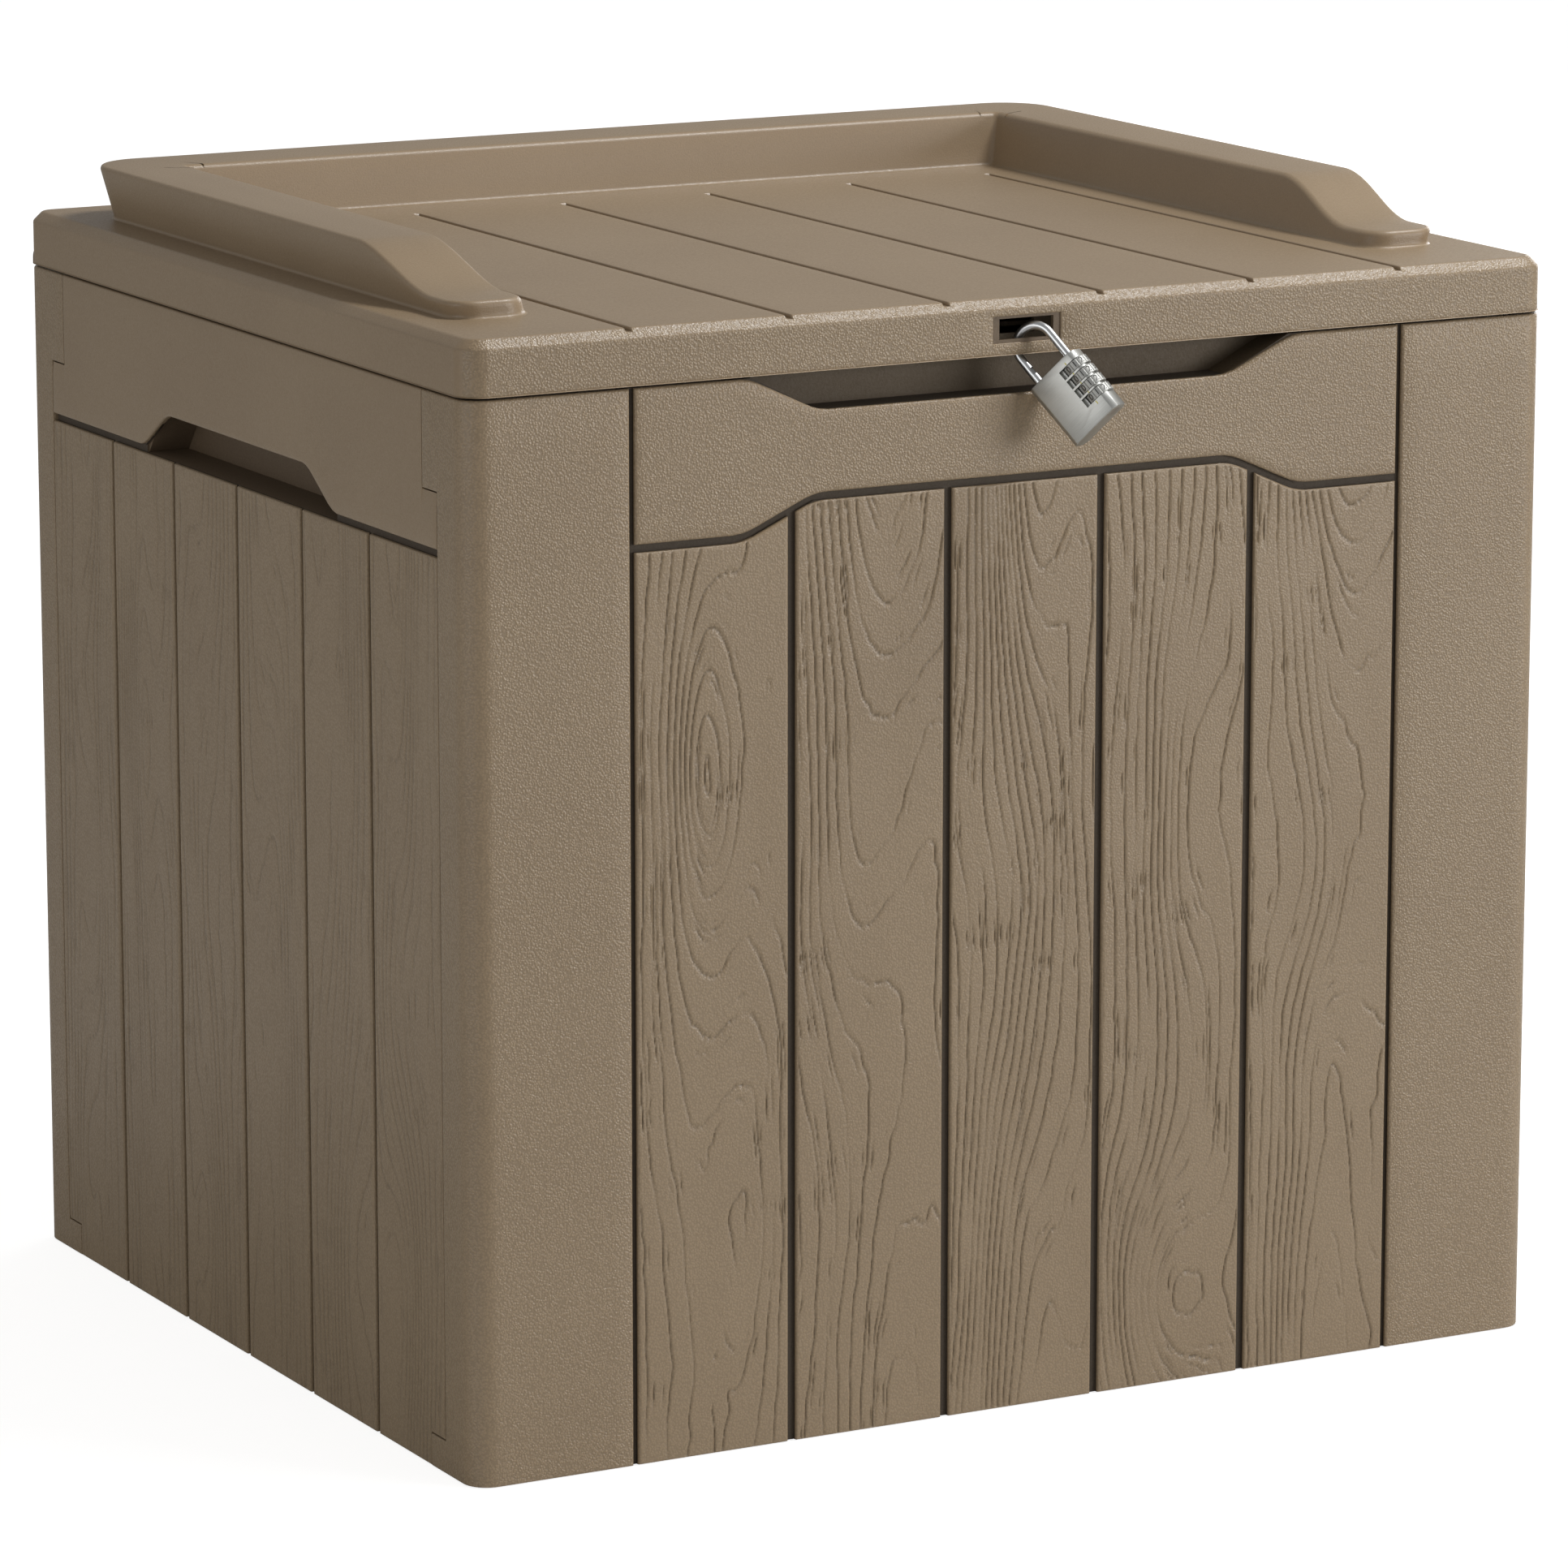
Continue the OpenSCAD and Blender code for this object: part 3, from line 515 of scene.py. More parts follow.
@dataclass(frozen=True)
class WorkedMetal:
    """Metal with lines left by a brush, a polishing wheel or a plating bath."""

    name: str
    shade: str
    deep: str
    line_mm: float
    stretch: tuple[float, float, float]
    line_depth: float
    roughness: float

    def material(self) -> bpy.types.Material:
        """The metal's material: fine lines in height, gloss and shade."""
        material, tree, place = new_material(self.name)
        along = add_node(tree, "ShaderNodeVectorMath", {"operation": "MULTIPLY"},
                         {0: place.outputs["Object"], 1: self.stretch})
        lines = add_node(tree, "ShaderNodeTexNoise", None,
                         {"Vector": along.outputs[0], "Scale": 1 / (self.line_mm * MM), "Detail": 4.0,
                          "Roughness": 0.65})
        shade = add_node(tree, "ShaderNodeMix", {"data_type": "RGBA"},
                         {"Factor": lines.outputs["Fac"], 6: linear(self.deep), 7: linear(self.shade)})
        rough = add_node(tree, "ShaderNodeMapRange", None,
                         {"Value": lines.outputs["Fac"], "To Min": self.roughness + 0.08,
                          "To Max": self.roughness - 0.06})
        bump = add_node(tree, "ShaderNodeBump", None,
                        {"Height": lines.outputs["Fac"], "Distance": self.line_depth * MM, "Strength": 0.6})
        shader = add_node(tree, "ShaderNodeBsdfPrincipled", None,
                          {"Base Color": shade.outputs[2], "Roughness": rough.outputs[0], "Metallic": 1.0,
                           "Normal": bump.outputs[0]})
        add_node(tree, "ShaderNodeOutputMaterial", None, {"Surface": shader.outputs[0]})
        return material


@dataclass(frozen=True)
class FilledPaint:
    """Enamel wiped into a mark, with a faint orange-peel skin."""

    name: str
    shade: str
    roughness: float

    def material(self) -> bpy.types.Material:
        """The paint's material: one colour, uneven gloss."""
        material, tree, place = new_material(self.name)
        peel = add_node(tree, "ShaderNodeTexNoise", None, {"Vector": place.outputs["Object"],
                                                           "Scale": 1 / (0.6 * MM)})
        rough = add_node(tree, "ShaderNodeMapRange", None,
                         {"Value": peel.outputs["Fac"], "To Min": self.roughness - 0.08,
                          "To Max": self.roughness + 0.1})
        bump = add_node(tree, "ShaderNodeBump", None, {"Height": peel.outputs["Fac"], "Distance": 0.00002})
        shader = add_node(tree, "ShaderNodeBsdfPrincipled", None,
                          {"Base Color": linear(self.shade), "Roughness": rough.outputs[0],
                           "Normal": bump.outputs[0]})
        add_node(tree, "ShaderNodeOutputMaterial", None, {"Surface": shader.outputs[0]})
        return material


@dataclass
class FinishShelf:
    """Every finish of the box, made once."""

    # leather-like pebbles with glossier tops, lightened as painted highlight, on the posts, bands and the
    # lid's skirt
    pebbled: bpy.types.Material = field(default_factory=lambda: MouldedResin(
        "pebble_cast_polypropylene", "#9A866B", "#917D63", 1.1, 0.15, 0.31, pebbles=True).material())
    # a finer satin on the sides, the lid's top and the rail, which takes a softer shine
    satin: bpy.types.Material = field(default_factory=lambda: MouldedResin(
        "satin_cast_polypropylene", "#98846A", "#8D7960", 0.8, 0.045, 0.36).material())
    # planks with cut grain lines, matt between them
    planked: bpy.types.Material = field(default_factory=lambda: MouldedResin(
        "woodgrain_cast_polypropylene", "#9A866B", "#8F7B61", 1.15, 0.11, 0.34, pebbles=True,
        woodgrain=True).material())
    # the inner walls are only blasted, so they look plain and dull; their tone, darker than the outer resin,
    # is painted shade
    inner: bpy.types.Material = field(default_factory=lambda: MouldedResin(
        "blasted_polypropylene_painted_shade", "#705F4B", "#685744", 0.8, 0.03, 0.55).material())
    # grooves hold dust and little light, so the resin at their foot reads almost black
    # painted shade: the resin at the foot of the grooves and low in the finger recess is toned almost black
    groove: bpy.types.Material = field(default_factory=lambda: MouldedResin(
        "groove_shade_cast_polypropylene", "#4A3F32", "#41372B", 0.9, 0.03, 0.7).material())
    # a darker, duller resin for the floor and the liner; on the upper walls of the finger recess it is
    # painted shade
    dark: bpy.types.Material = field(default_factory=lambda: MouldedResin(
        "dark_polypropylene_and_recess_shade", "#63543F", "#5A4C3A", 1.0, 0.05, 0.6).material())
    # thin zinc gives the screws and the pins a bluish, cloudy shine
    plated: bpy.types.Material = field(default_factory=lambda: WorkedMetal(
        "bright_zinc_plated_steel", "#C9CBCC", "#A9ACB0", 0.4, (1.0, 1.0, 1.0), 0.01, 0.32).material())
    # satin chrome, drawn along the rod, puts a soft bright band down the shackle
    polished: bpy.types.Material = field(default_factory=lambda: WorkedMetal(
        "satin_chrome_steel", "#DCDDDD", "#C6C8CA", 0.5, (1.0, 1.0, 0.05), 0.006, 0.3).material())
    # brushed across the case, so the light spreads along its height
    brushed: bpy.types.Material = field(default_factory=lambda: WorkedMetal(
        "brushed_anodised_aluminium", "#D2D2CD", "#A3A4A1", 0.24, (0.02, 1.0, 1.0), 0.035, 0.42).material())
    # tumbling rounds off the plating, so the dials have a low and even grey sheen
    dial_metal: bpy.types.Material = field(default_factory=lambda: WorkedMetal(
        "tumbled_nickel_brass", "#BDBDB9", "#A6A6A2", 0.3, (1.0, 1.0, 0.4), 0.006, 0.55).material())
    # baked enamel, nearly matt, fills the numerals and the walls of the dial windows; on the window walls the
    # black is painted shade
    black: bpy.types.Material = field(default_factory=lambda: FilledPaint("black_enamel_and_window_shade", "#141414",
                                                                          0.5).material())
    # the index marks catch the eye as small glossy bars
    yellow: bpy.types.Material = field(default_factory=lambda: FilledPaint("yellow_enamel", "#D8C92E",
                                                                           0.45).material())


# ---------------------------------------------------------------- woodgrain


@dataclass(frozen=True)
class Knot:
    """A hill in the ring field of a plank, which the grain flows round."""

    across: float
    height: float
    width: float
    length: float
    rings: float


@dataclass(frozen=True)
class Woodgrain:
    """Cut grain lines of one plank: level lines of a ring field, broken here and there."""

    seed: int
    drift: float
    knots: tuple[Knot, ...]
    depth: float = 0.7
    half_line: float = 0.45

    def field(self, across: Array, height: Array) -> Array:
        """The ring number at every point of the plank."""
        wave = soft_noise(across / 40 + 3, height / 95, self.seed)
        rings = self.drift * (across + 7 * wave)
        rings = rings + 0.30 * soft_noise(across / 15, height / 48, self.seed + 1)
        rings = rings + 0.07 * soft_noise(across / 4, height / 9, self.seed + 2)
        for k in self.knots:
            far = ((across - k.across) / k.width) ** 2 + ((height - k.height) / k.length) ** 2
            rings = rings + k.rings * np.exp(-far / 2)
        return rings

    def cut(self, across: Array, height: Array) -> Array:
        """How deep the lines are cut at every point.

        Args:
            across: place of each point across the plank, from its middle.
            height: its height.

        Returns:
            A share of the full depth, from 0 to 1.
        """
        small = 0.25
        rings = self.field(across, height)
        steep = np.hypot((self.field(across + small, height) - rings) / small,
                         (self.field(across, height + small) - rings) / small) + 1e-4
        weights = np.random.default_rng(self.seed + 9).uniform(0, 1, 97)
        deepest = np.zeros(across.shape)
        for share, shift, short in ((1.0, 0.0, False), (2.0, 0.5, True)):
            number = np.round(rings * share + shift)
            off = np.abs(rings * share + shift - number) / (steep * share)
            weight = weights[(number.astype(int) * 31) % 97]
            gaps = soft_noise(across / 7 + 11, height / (16 if short else 42), self.seed + 5)
            kept = gaps * 2.2 - 0.8 if short else 0.55 + 0.6 * weight + 0.9 * gaps
            room = (1 / (steep * share) - 1.3) / 1.2
            line = np.exp(-((off / (self.half_line * (0.8 if short else 1.0))) ** 2))
            deepest = np.maximum(deepest, line * np.clip(kept, 0, 1) * np.clip(room, 0, 1))
        return deepest


FRONT_FIGURES = (
    Woodgrain(11, 0.085, (Knot(-4, 318, 9, 42, 3.4), Knot(-7, 318, 21, 92, 3.6),
                          Knot(17, 120, 12, 70, -2.8))),
    Woodgrain(23, 0.075, (Knot(1, 492, 27, 130, 9.0), Knot(-14, 262, 16, 60, 2.6),
                          Knot(10, -20, 18, 90, 3.5))),
    Woodgrain(37, 0.17, (Knot(3, 452, 14, 88, 7.0), Knot(-6, 214, 13, 60, -1.6), Knot(1, -46, 21, 120, 7.5))),
    Woodgrain(41, 0.15, (Knot(7, 276, 13, 66, 3.6), Knot(-5, 44, 21, 40, 6.0))),
    Woodgrain(59, 0.09, (Knot(9, 470, 20, 88, 8.0), Knot(-8, 236, 12, 40, -2.4), Knot(2, 10, 18, 150, 6.5))),
)


def plain_figure(seed: int) -> Woodgrain:
    """A straighter, shallower figure for the planks of the sides and the back.

    Args:
        seed: start of the random draw.

    Returns:
        The figure.
    """
    draw = np.random.default_rng(seed)
    knots = tuple(
        Knot(float(draw.uniform(-12, 12)), float(h + draw.uniform(-40, 40)), float(draw.uniform(9, 15)),
             float(draw.uniform(60, 130)), float(draw.choice([-1, 1]) * draw.uniform(2.2, 5.0)))
        for h in (60, 230, 410))
    return Woodgrain(seed, float(draw.uniform(0.12, 0.22)), knots, 0.32, 0.5)


# ---------------------------------------------------------------- walls


@dataclass
class ReliefSheet:
    """One raised board, post or band: a sheet with rounded edges over the wall's core."""

    name: str
    wall: Wall
    along: Array
    height: Array
    edges: list[tuple[list[tuple[float, float]], float]]
    gone: list[tuple[float, float, float, float]] = field(default_factory=list)
    figure: Woodgrain | None = None
    middle: float = 0.0
    relief_r: float = 0.0
    back: float = 2.75

    def build(self) -> bpy.types.Mesh:
        """The sheet's mesh."""
        along = np.repeat(self.along[:, None], self.height.shape[1], 1)
        height = self.height
        depth = np.zeros(along.shape)
        for line, radius in self.edges:
            depth = np.maximum(depth, rounding(distance_to(along, height, line), radius))
        cut = np.zeros(along.shape)
        if self.figure is not None:
            calm = np.clip(1 - depth / 0.25, 0, 1)
            cut = self.figure.cut(along - self.middle, height) * calm
            swell = 0.12 * soft_noise(along / 14, height / 60, self.figure.seed + 7) + 0.12
            depth = depth + (cut * self.figure.depth + swell) * calm
        front = self.wall.place(along, height, depth)
        back = self.wall.place(along, height, np.full(along.shape, self.back))
        if self.relief_r:
            # the back wall's top edge is turned off so that the lid clears it
            centre_z = PLAN.wall_top - self.relief_r
            rise = np.clip(height - centre_z, 0, self.relief_r)
            room = PLAN.half_d - self.relief_r + np.sqrt(self.relief_r**2 - rise**2)
            for grid, less in ((front, 0.0), (back, 1.5)):
                limit = np.maximum(room - less, 0)
                grid[..., 1] = np.clip(grid[..., 1], -limit, limit)
        kept = np.ones((along.shape[0] - 1, along.shape[1] - 1), bool)
        mid_s = (along[:-1, :-1] + along[1:, 1:]) / 2
        mid_z = (height[:-1, :-1] + height[1:, 1:]) / 2
        for s0, s1, z0, z1 in self.gone:
            kept &= ~((mid_s > s0) & (mid_s < s1) & (mid_z > z0) & (mid_z < z1))
        capped = self.figure is not None
        points, quads, others = closed_sheet(front, back, kept, capped)
        values = {"cut": np.concatenate([cut.ravel(), np.zeros(cut.size)])} if capped else None
        return build_mesh(self.name, points, quads, others, 40.0, values)


def core_mesh(node: str, name: str, move: Callable[[Array], Array]) -> bpy.types.Mesh:
    """A copy of a frame solid whose points are moved, to lie under the sheets.

    Args:
        node: the frame solid.
        name: the new mesh's name.
        move: turns points in millimetres to their new places.

    Returns:
        The new mesh.
    """
    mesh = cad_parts[node].data.copy()
    mesh.name = name
    work = bmesh.new()
    work.from_mesh(mesh)
    bmesh.ops.remove_doubles(work, verts=work.verts, dist=1e-6)
    work.to_mesh(mesh)
    work.free()
    points = np.empty(len(mesh.vertices) * 3)
    mesh.vertices.foreach_get("co", points)
    points = move(points.reshape(-1, 3) / MM) * MM
    mesh.vertices.foreach_set("co", points.ravel())
    mesh.update()
    # its faces are long and flat, so shading them smooth would streak
    mesh.polygons.foreach_set("use_smooth", np.zeros(len(mesh.polygons), bool))
    return mesh


def draw_in(points: Array) -> Array:
    """Moves what lies on the outer faces of the walls in behind the sheets.

    Args:
        points: rows of x, y, z in millimetres.

    Returns:
        The moved points.
    """
    pull = 1.8
    inset, way = PLAN.inset(points)
    out = points.copy()
    outer = inset < ON_FACE
    out[outer, :2] -= pull * way[outer]
    return out


@dataclass
class MouldedWall:
    """What the four walls have in common: a drawn-in core and sheets of relief over it."""

    wall: Wall
    node: str
    finishes: FinishShelf
    body: str = "box"
    edge_r: float = 1.3
    seam_r: float = 0.45
    recess_depth: float = 0.0
    recess_above_band: float = 45.0
    recess_back_below_top: float = 12.0

    def dress(self, sheet: ReliefSheet, material: bpy.types.Material) -> None:
        """Builds a sheet and puts it on the box."""
        add_piece(sheet.name, sheet.build(), self.body, [self.node], material)

    def core(self) -> None:
        """Builds the wall's core."""
        mesh = core_mesh(self.node, f"{self.wall.value}_core", draw_in)
        add_piece(f"{self.wall.value}_core", mesh, self.body, [self.node], self.finishes.inner)
        mesh.materials.append(self.finishes.groove)
        centres = np.empty(len(mesh.polygons) * 3)
        mesh.polygons.foreach_get("center", centres)
        inset, _ = PLAN.inset(centres.reshape(-1, 3) / MM)
        high = centres.reshape(-1, 3)[:, 2] / MM
        recess = (inset < self.recess_depth) & (high > PLAN.band_z + self.recess_above_band)
        # painted shade: core faces at the foot of the grooves and low in the finger recess get the near-black
        # groove resin, the recess's upper walls the darker resin
        foot = (inset < PLAN.groove_depth + 0.2) | (recess & (high < PLAN.wall_top
                                                              - self.recess_back_below_top))
        mesh.materials.append(self.finishes.dark)
        mesh.polygons.foreach_set("material_index", np.where(foot, 1,
                                                             np.where(recess, 2, 0)).astype(np.int32))


@dataclass
class EndWall(MouldedWall):
    """The front or the back wall: two posts that wrap the corners, a band and planks."""

    rise: float = 0.0
    arch_w: float = 216.0
    arch_run: float = 36.0
    recess_w: float = 0.0
    recess_run: float = 35.0
    recess_z: float = 473.0
    relief_r: float = 0.0
    figures: tuple[Woodgrain, ...] = ()
    grid: tuple[float, float] = (0.62, 1.3)

    def lower_line(self) -> Line:
        """Lower edge of the band."""
        half = self.arch_w / 2
        low, high = PLAN.band_z, PLAN.band_z + self.rise
        return soft_line([(-PLAN.half_w, low), (-half - self.arch_run, low), (-half, high), (half, high),
                          (half + self.arch_run, low), (PLAN.half_w, low)], 12.0)

    def upper_line(self) -> Line:
        """Upper edge of the band, lowered at the finger recess."""
        top = PLAN.wall_top - PLAN.hair
        if not self.recess_w:
            return lambda at: np.full(np.shape(at), top)
        half = self.recess_w / 2
        return soft_line([(-PLAN.half_w, top), (-half - self.recess_run, top), (-half, self.recess_z),
                          (half, self.recess_z), (half + self.recess_run, top), (PLAN.half_w, top)], 9.0)

    def posts(self) -> None:
        """Builds the two corner posts with their hooks."""
        inner = PLAN.post_x + PLAN.post_gap / 2 + PLAN.hair
        long, short = PLAN.reach(PLAN.wrap + PLAN.hook), PLAN.reach(PLAN.wrap)
        low, high = PLAN.hair, PLAN.wall_top - PLAN.hair
        hook_low, hook_high = PLAN.hook_bottom, PLAN.wall_top + 0.5 - PLAN.hook_top
        flat = PLAN.half_w - PLAN.corner_r
        bend = [flat + PLAN.corner_r * math.pi / 2 * k / 10 for k in range(11)]
        extra = bend + [short - e for e in edge_steps(self.seam_r)]
        for side, name in ((-1, "left"), (1, "right")):
            s = stations(inner, long, 9.0, (self.edge_r, self.seam_r), extra)
            marks = [hook_low - e for e in edge_steps(self.seam_r)] + [hook_high
                                                                       + e for e in edge_steps(self.seam_r)]
            if self.relief_r:
                marks += [high - self.relief_r * (1 - math.sin(math.pi / 2 * k / 6)) for k in range(7)]
            z = stations(low, high, 24.0, (self.edge_r, self.edge_r), marks)
            height = np.repeat(z[None, :], len(s), 0)
            edges = [([(inner, low), (inner, high)], self.edge_r),
                     ([(inner, high), (long, high)], self.edge_r),
                     ([(inner, low), (long, low)], self.seam_r),
                     ([(long, low), (long, hook_low), (short, hook_low), (short, hook_high),
                       (long, hook_high),
                       (long, high)], self.seam_r)]
            gone = [(short, long + 1, hook_low, hook_high)]
            if side < 0:
                s, height = -s[::-1], height[::-1]
                edges = [([(-x, h) for x, h in line], r) for line, r in edges]
                gone = [(-long - 1, -short, hook_low, hook_high)]
            name = f"{self.wall.value}_post_{name}"
            self.dress(ReliefSheet(name, self.wall, s, height, edges, gone, relief_r=self.relief_r),
                       self.finishes.pebbled)

    def band(self) -> None:
        """Builds the band above the planks."""
        half = PLAN.post_x - PLAN.post_gap / 2 - PLAN.hair
        low, high = self.lower_line(), self.upper_line()
        s = stations(-half, half, 4.0, (self.edge_r, self.edge_r))
        knots = [low(s), np.full(len(s), 452.0), high(s)]
        marks_r = self.relief_r or 1.6
        z = rows(knots, 7.0, (self.edge_r, marks_r))
        line_low, line_high = list(zip(s, low(s))), list(zip(s, high(s)))
        edges = [(line_low, self.edge_r), (line_high, 1.6),
                 ([(-half, 400), (-half, 500)], self.edge_r), ([(half, 400), (half, 500)], self.edge_r)]
        self.dress(ReliefSheet(f"{self.wall.value}_band", self.wall, s, z, edges, relief_r=self.relief_r),
                   self.finishes.pebbled)

    def planks(self) -> None:
        """Builds the planks, each with its own figure."""
        line = self.lower_line()
        for i, figure in enumerate(self.figures):
            left = -PLAN.post_x + i * PLAN.pitch
            right = left + PLAN.pitch
            left += (PLAN.post_gap if i == 0 else PLAN.plank_gap) / 2 + PLAN.hair
            right -= (PLAN.post_gap if i == len(self.figures) - 1 else PLAN.plank_gap) / 2 + PLAN.hair
            s = stations(left, right, self.grid[0], (self.edge_r, self.edge_r))
            top = line(s) - PLAN.band_gap - PLAN.hair
            z = rows([np.full(len(s), PLAN.hair), top], self.grid[1], (self.edge_r, self.edge_r))
            sample = np.linspace(left, right, 24)
            top_line = list(zip(sample, line(sample) - PLAN.band_gap - PLAN.hair))
            edges = [([(left, -9), (left, 499)], self.edge_r), ([(right, -9), (right, 499)], self.edge_r),
                     (top_line, self.edge_r), ([(left, PLAN.hair), (right, PLAN.hair)], 0.8)]
            self.dress(ReliefSheet(f"{self.wall.value}_plank_{i + 1}", self.wall, s, z, edges, figure=figure,
                                   middle=(left + right) / 2), self.finishes.planked)

    def build(self) -> None:
        """Builds the whole wall."""
        self.core()
        self.posts()
        self.band()
        self.planks()


@dataclass
class SideWall(MouldedWall):
    """A side wall: a band with a hand-hold in its lower edge, and six planks."""

    hand_w: float = 156.0
    hand_run: float = 28.0
    hand_rise: float = 18.0
    grid: tuple[float, float] = (0.9, 1.7)

    def band(self) -> None:
        """Builds the band, notched at the corners for the hooks of the end walls."""
        main = PLAN.half_d - PLAN.wrap - PLAN.seam
        short = main - PLAN.hook
        half = self.hand_w / 2
        low_z, rise = PLAN.band_z, self.hand_rise
        line = soft_line([(-PLAN.half_d, low_z), (-half - self.hand_run, low_z), (-half, low_z + rise),
                          (half, low_z + rise), (half + self.hand_run, low_z), (PLAN.half_d, low_z)], 9.0)
        notch_z = PLAN.wall_top + 0.5 - PLAN.hook_top - PLAN.seam
        top = PLAN.wall_top - PLAN.hair
        marks = [x for e in edge_steps(self.seam_r) for x in (e - short, short - e)]
        s = stations(-main, main, 4.0, (self.seam_r, self.seam_r), marks)
        z = rows([line(s), np.full(len(s), notch_z), np.full(len(s), top)], 7.0, (self.edge_r, self.edge_r))
        edges = [(list(zip(s, line(s))), self.edge_r), ([(-short, top), (short, top)], self.edge_r)]
        for side in (-1, 1):
            edges.append(([(side * main, low_z), (side * main, notch_z), (side * short, notch_z),
                           (side * short, top)],
                          self.seam_r))
        gone = [(-main - 1, -short, notch_z, 500), (short, main + 1, notch_z, 500)]
        self.dress(ReliefSheet(f"{self.wall.value}_band", self.wall, s, z, edges, gone), self.finishes.satin)

    def planks(self) -> None:
        """Builds the planks; the two outer ones are notched above the lower hooks."""
        main = PLAN.half_d - PLAN.wrap - PLAN.seam
        short = main - PLAN.hook
        pitch = 2 * (main + PLAN.seam) / PLAN.side_planks
        notch_z = PLAN.hook_bottom + PLAN.seam
        top = PLAN.band_z - PLAN.band_gap - PLAN.hair
        for i in range(PLAN.side_planks):
            first, last = i == 0, i == PLAN.side_planks - 1
            left = -main if first else -main - PLAN.seam + i * pitch + PLAN.side_gap / 2 + PLAN.hair
            right = main if last else -main - PLAN.seam + (i + 1) * pitch - PLAN.side_gap / 2 - PLAN.hair
            radii = (self.seam_r if first else self.edge_r, self.seam_r if last else self.edge_r)
            s = stations(left, right, self.grid[0], radii, (-short, short))
            z = rows([np.full(len(s), PLAN.hair), np.full(len(s), notch_z), np.full(len(s), top)],
                     self.grid[1], (self.edge_r, self.edge_r))
            edges = [([(left, -9), (left, 499)], radii[0]), ([(right, -9), (right, 499)], radii[1]),
                     ([(left, top), (right, top)], self.edge_r),
                     ([(left, PLAN.hair), (right, PLAN.hair)], 0.8)]
            gone = []
            if first or last:
                side = -1 if first else 1
                edges.append(([(side * short, -9), (side * short, notch_z), (side * main, notch_z)],
                              self.seam_r))
                gone = [(min(side * short, side * main * 2), max(side * short, side * main * 2), -9, notch_z)]
            seed = 101 + i + (40 if self.wall is Wall.RIGHT else 0)
            self.dress(ReliefSheet(f"{self.wall.value}_plank_{i + 1}", self.wall, s, z, edges, gone,
                                   figure=plain_figure(seed), middle=(left + right) / 2),
                                   self.finishes.planked)

    def build(self) -> None:
        """Builds the whole wall."""
        self.core()
        self.band()
        self.planks()


# ---------------------------------------------------------------- lid


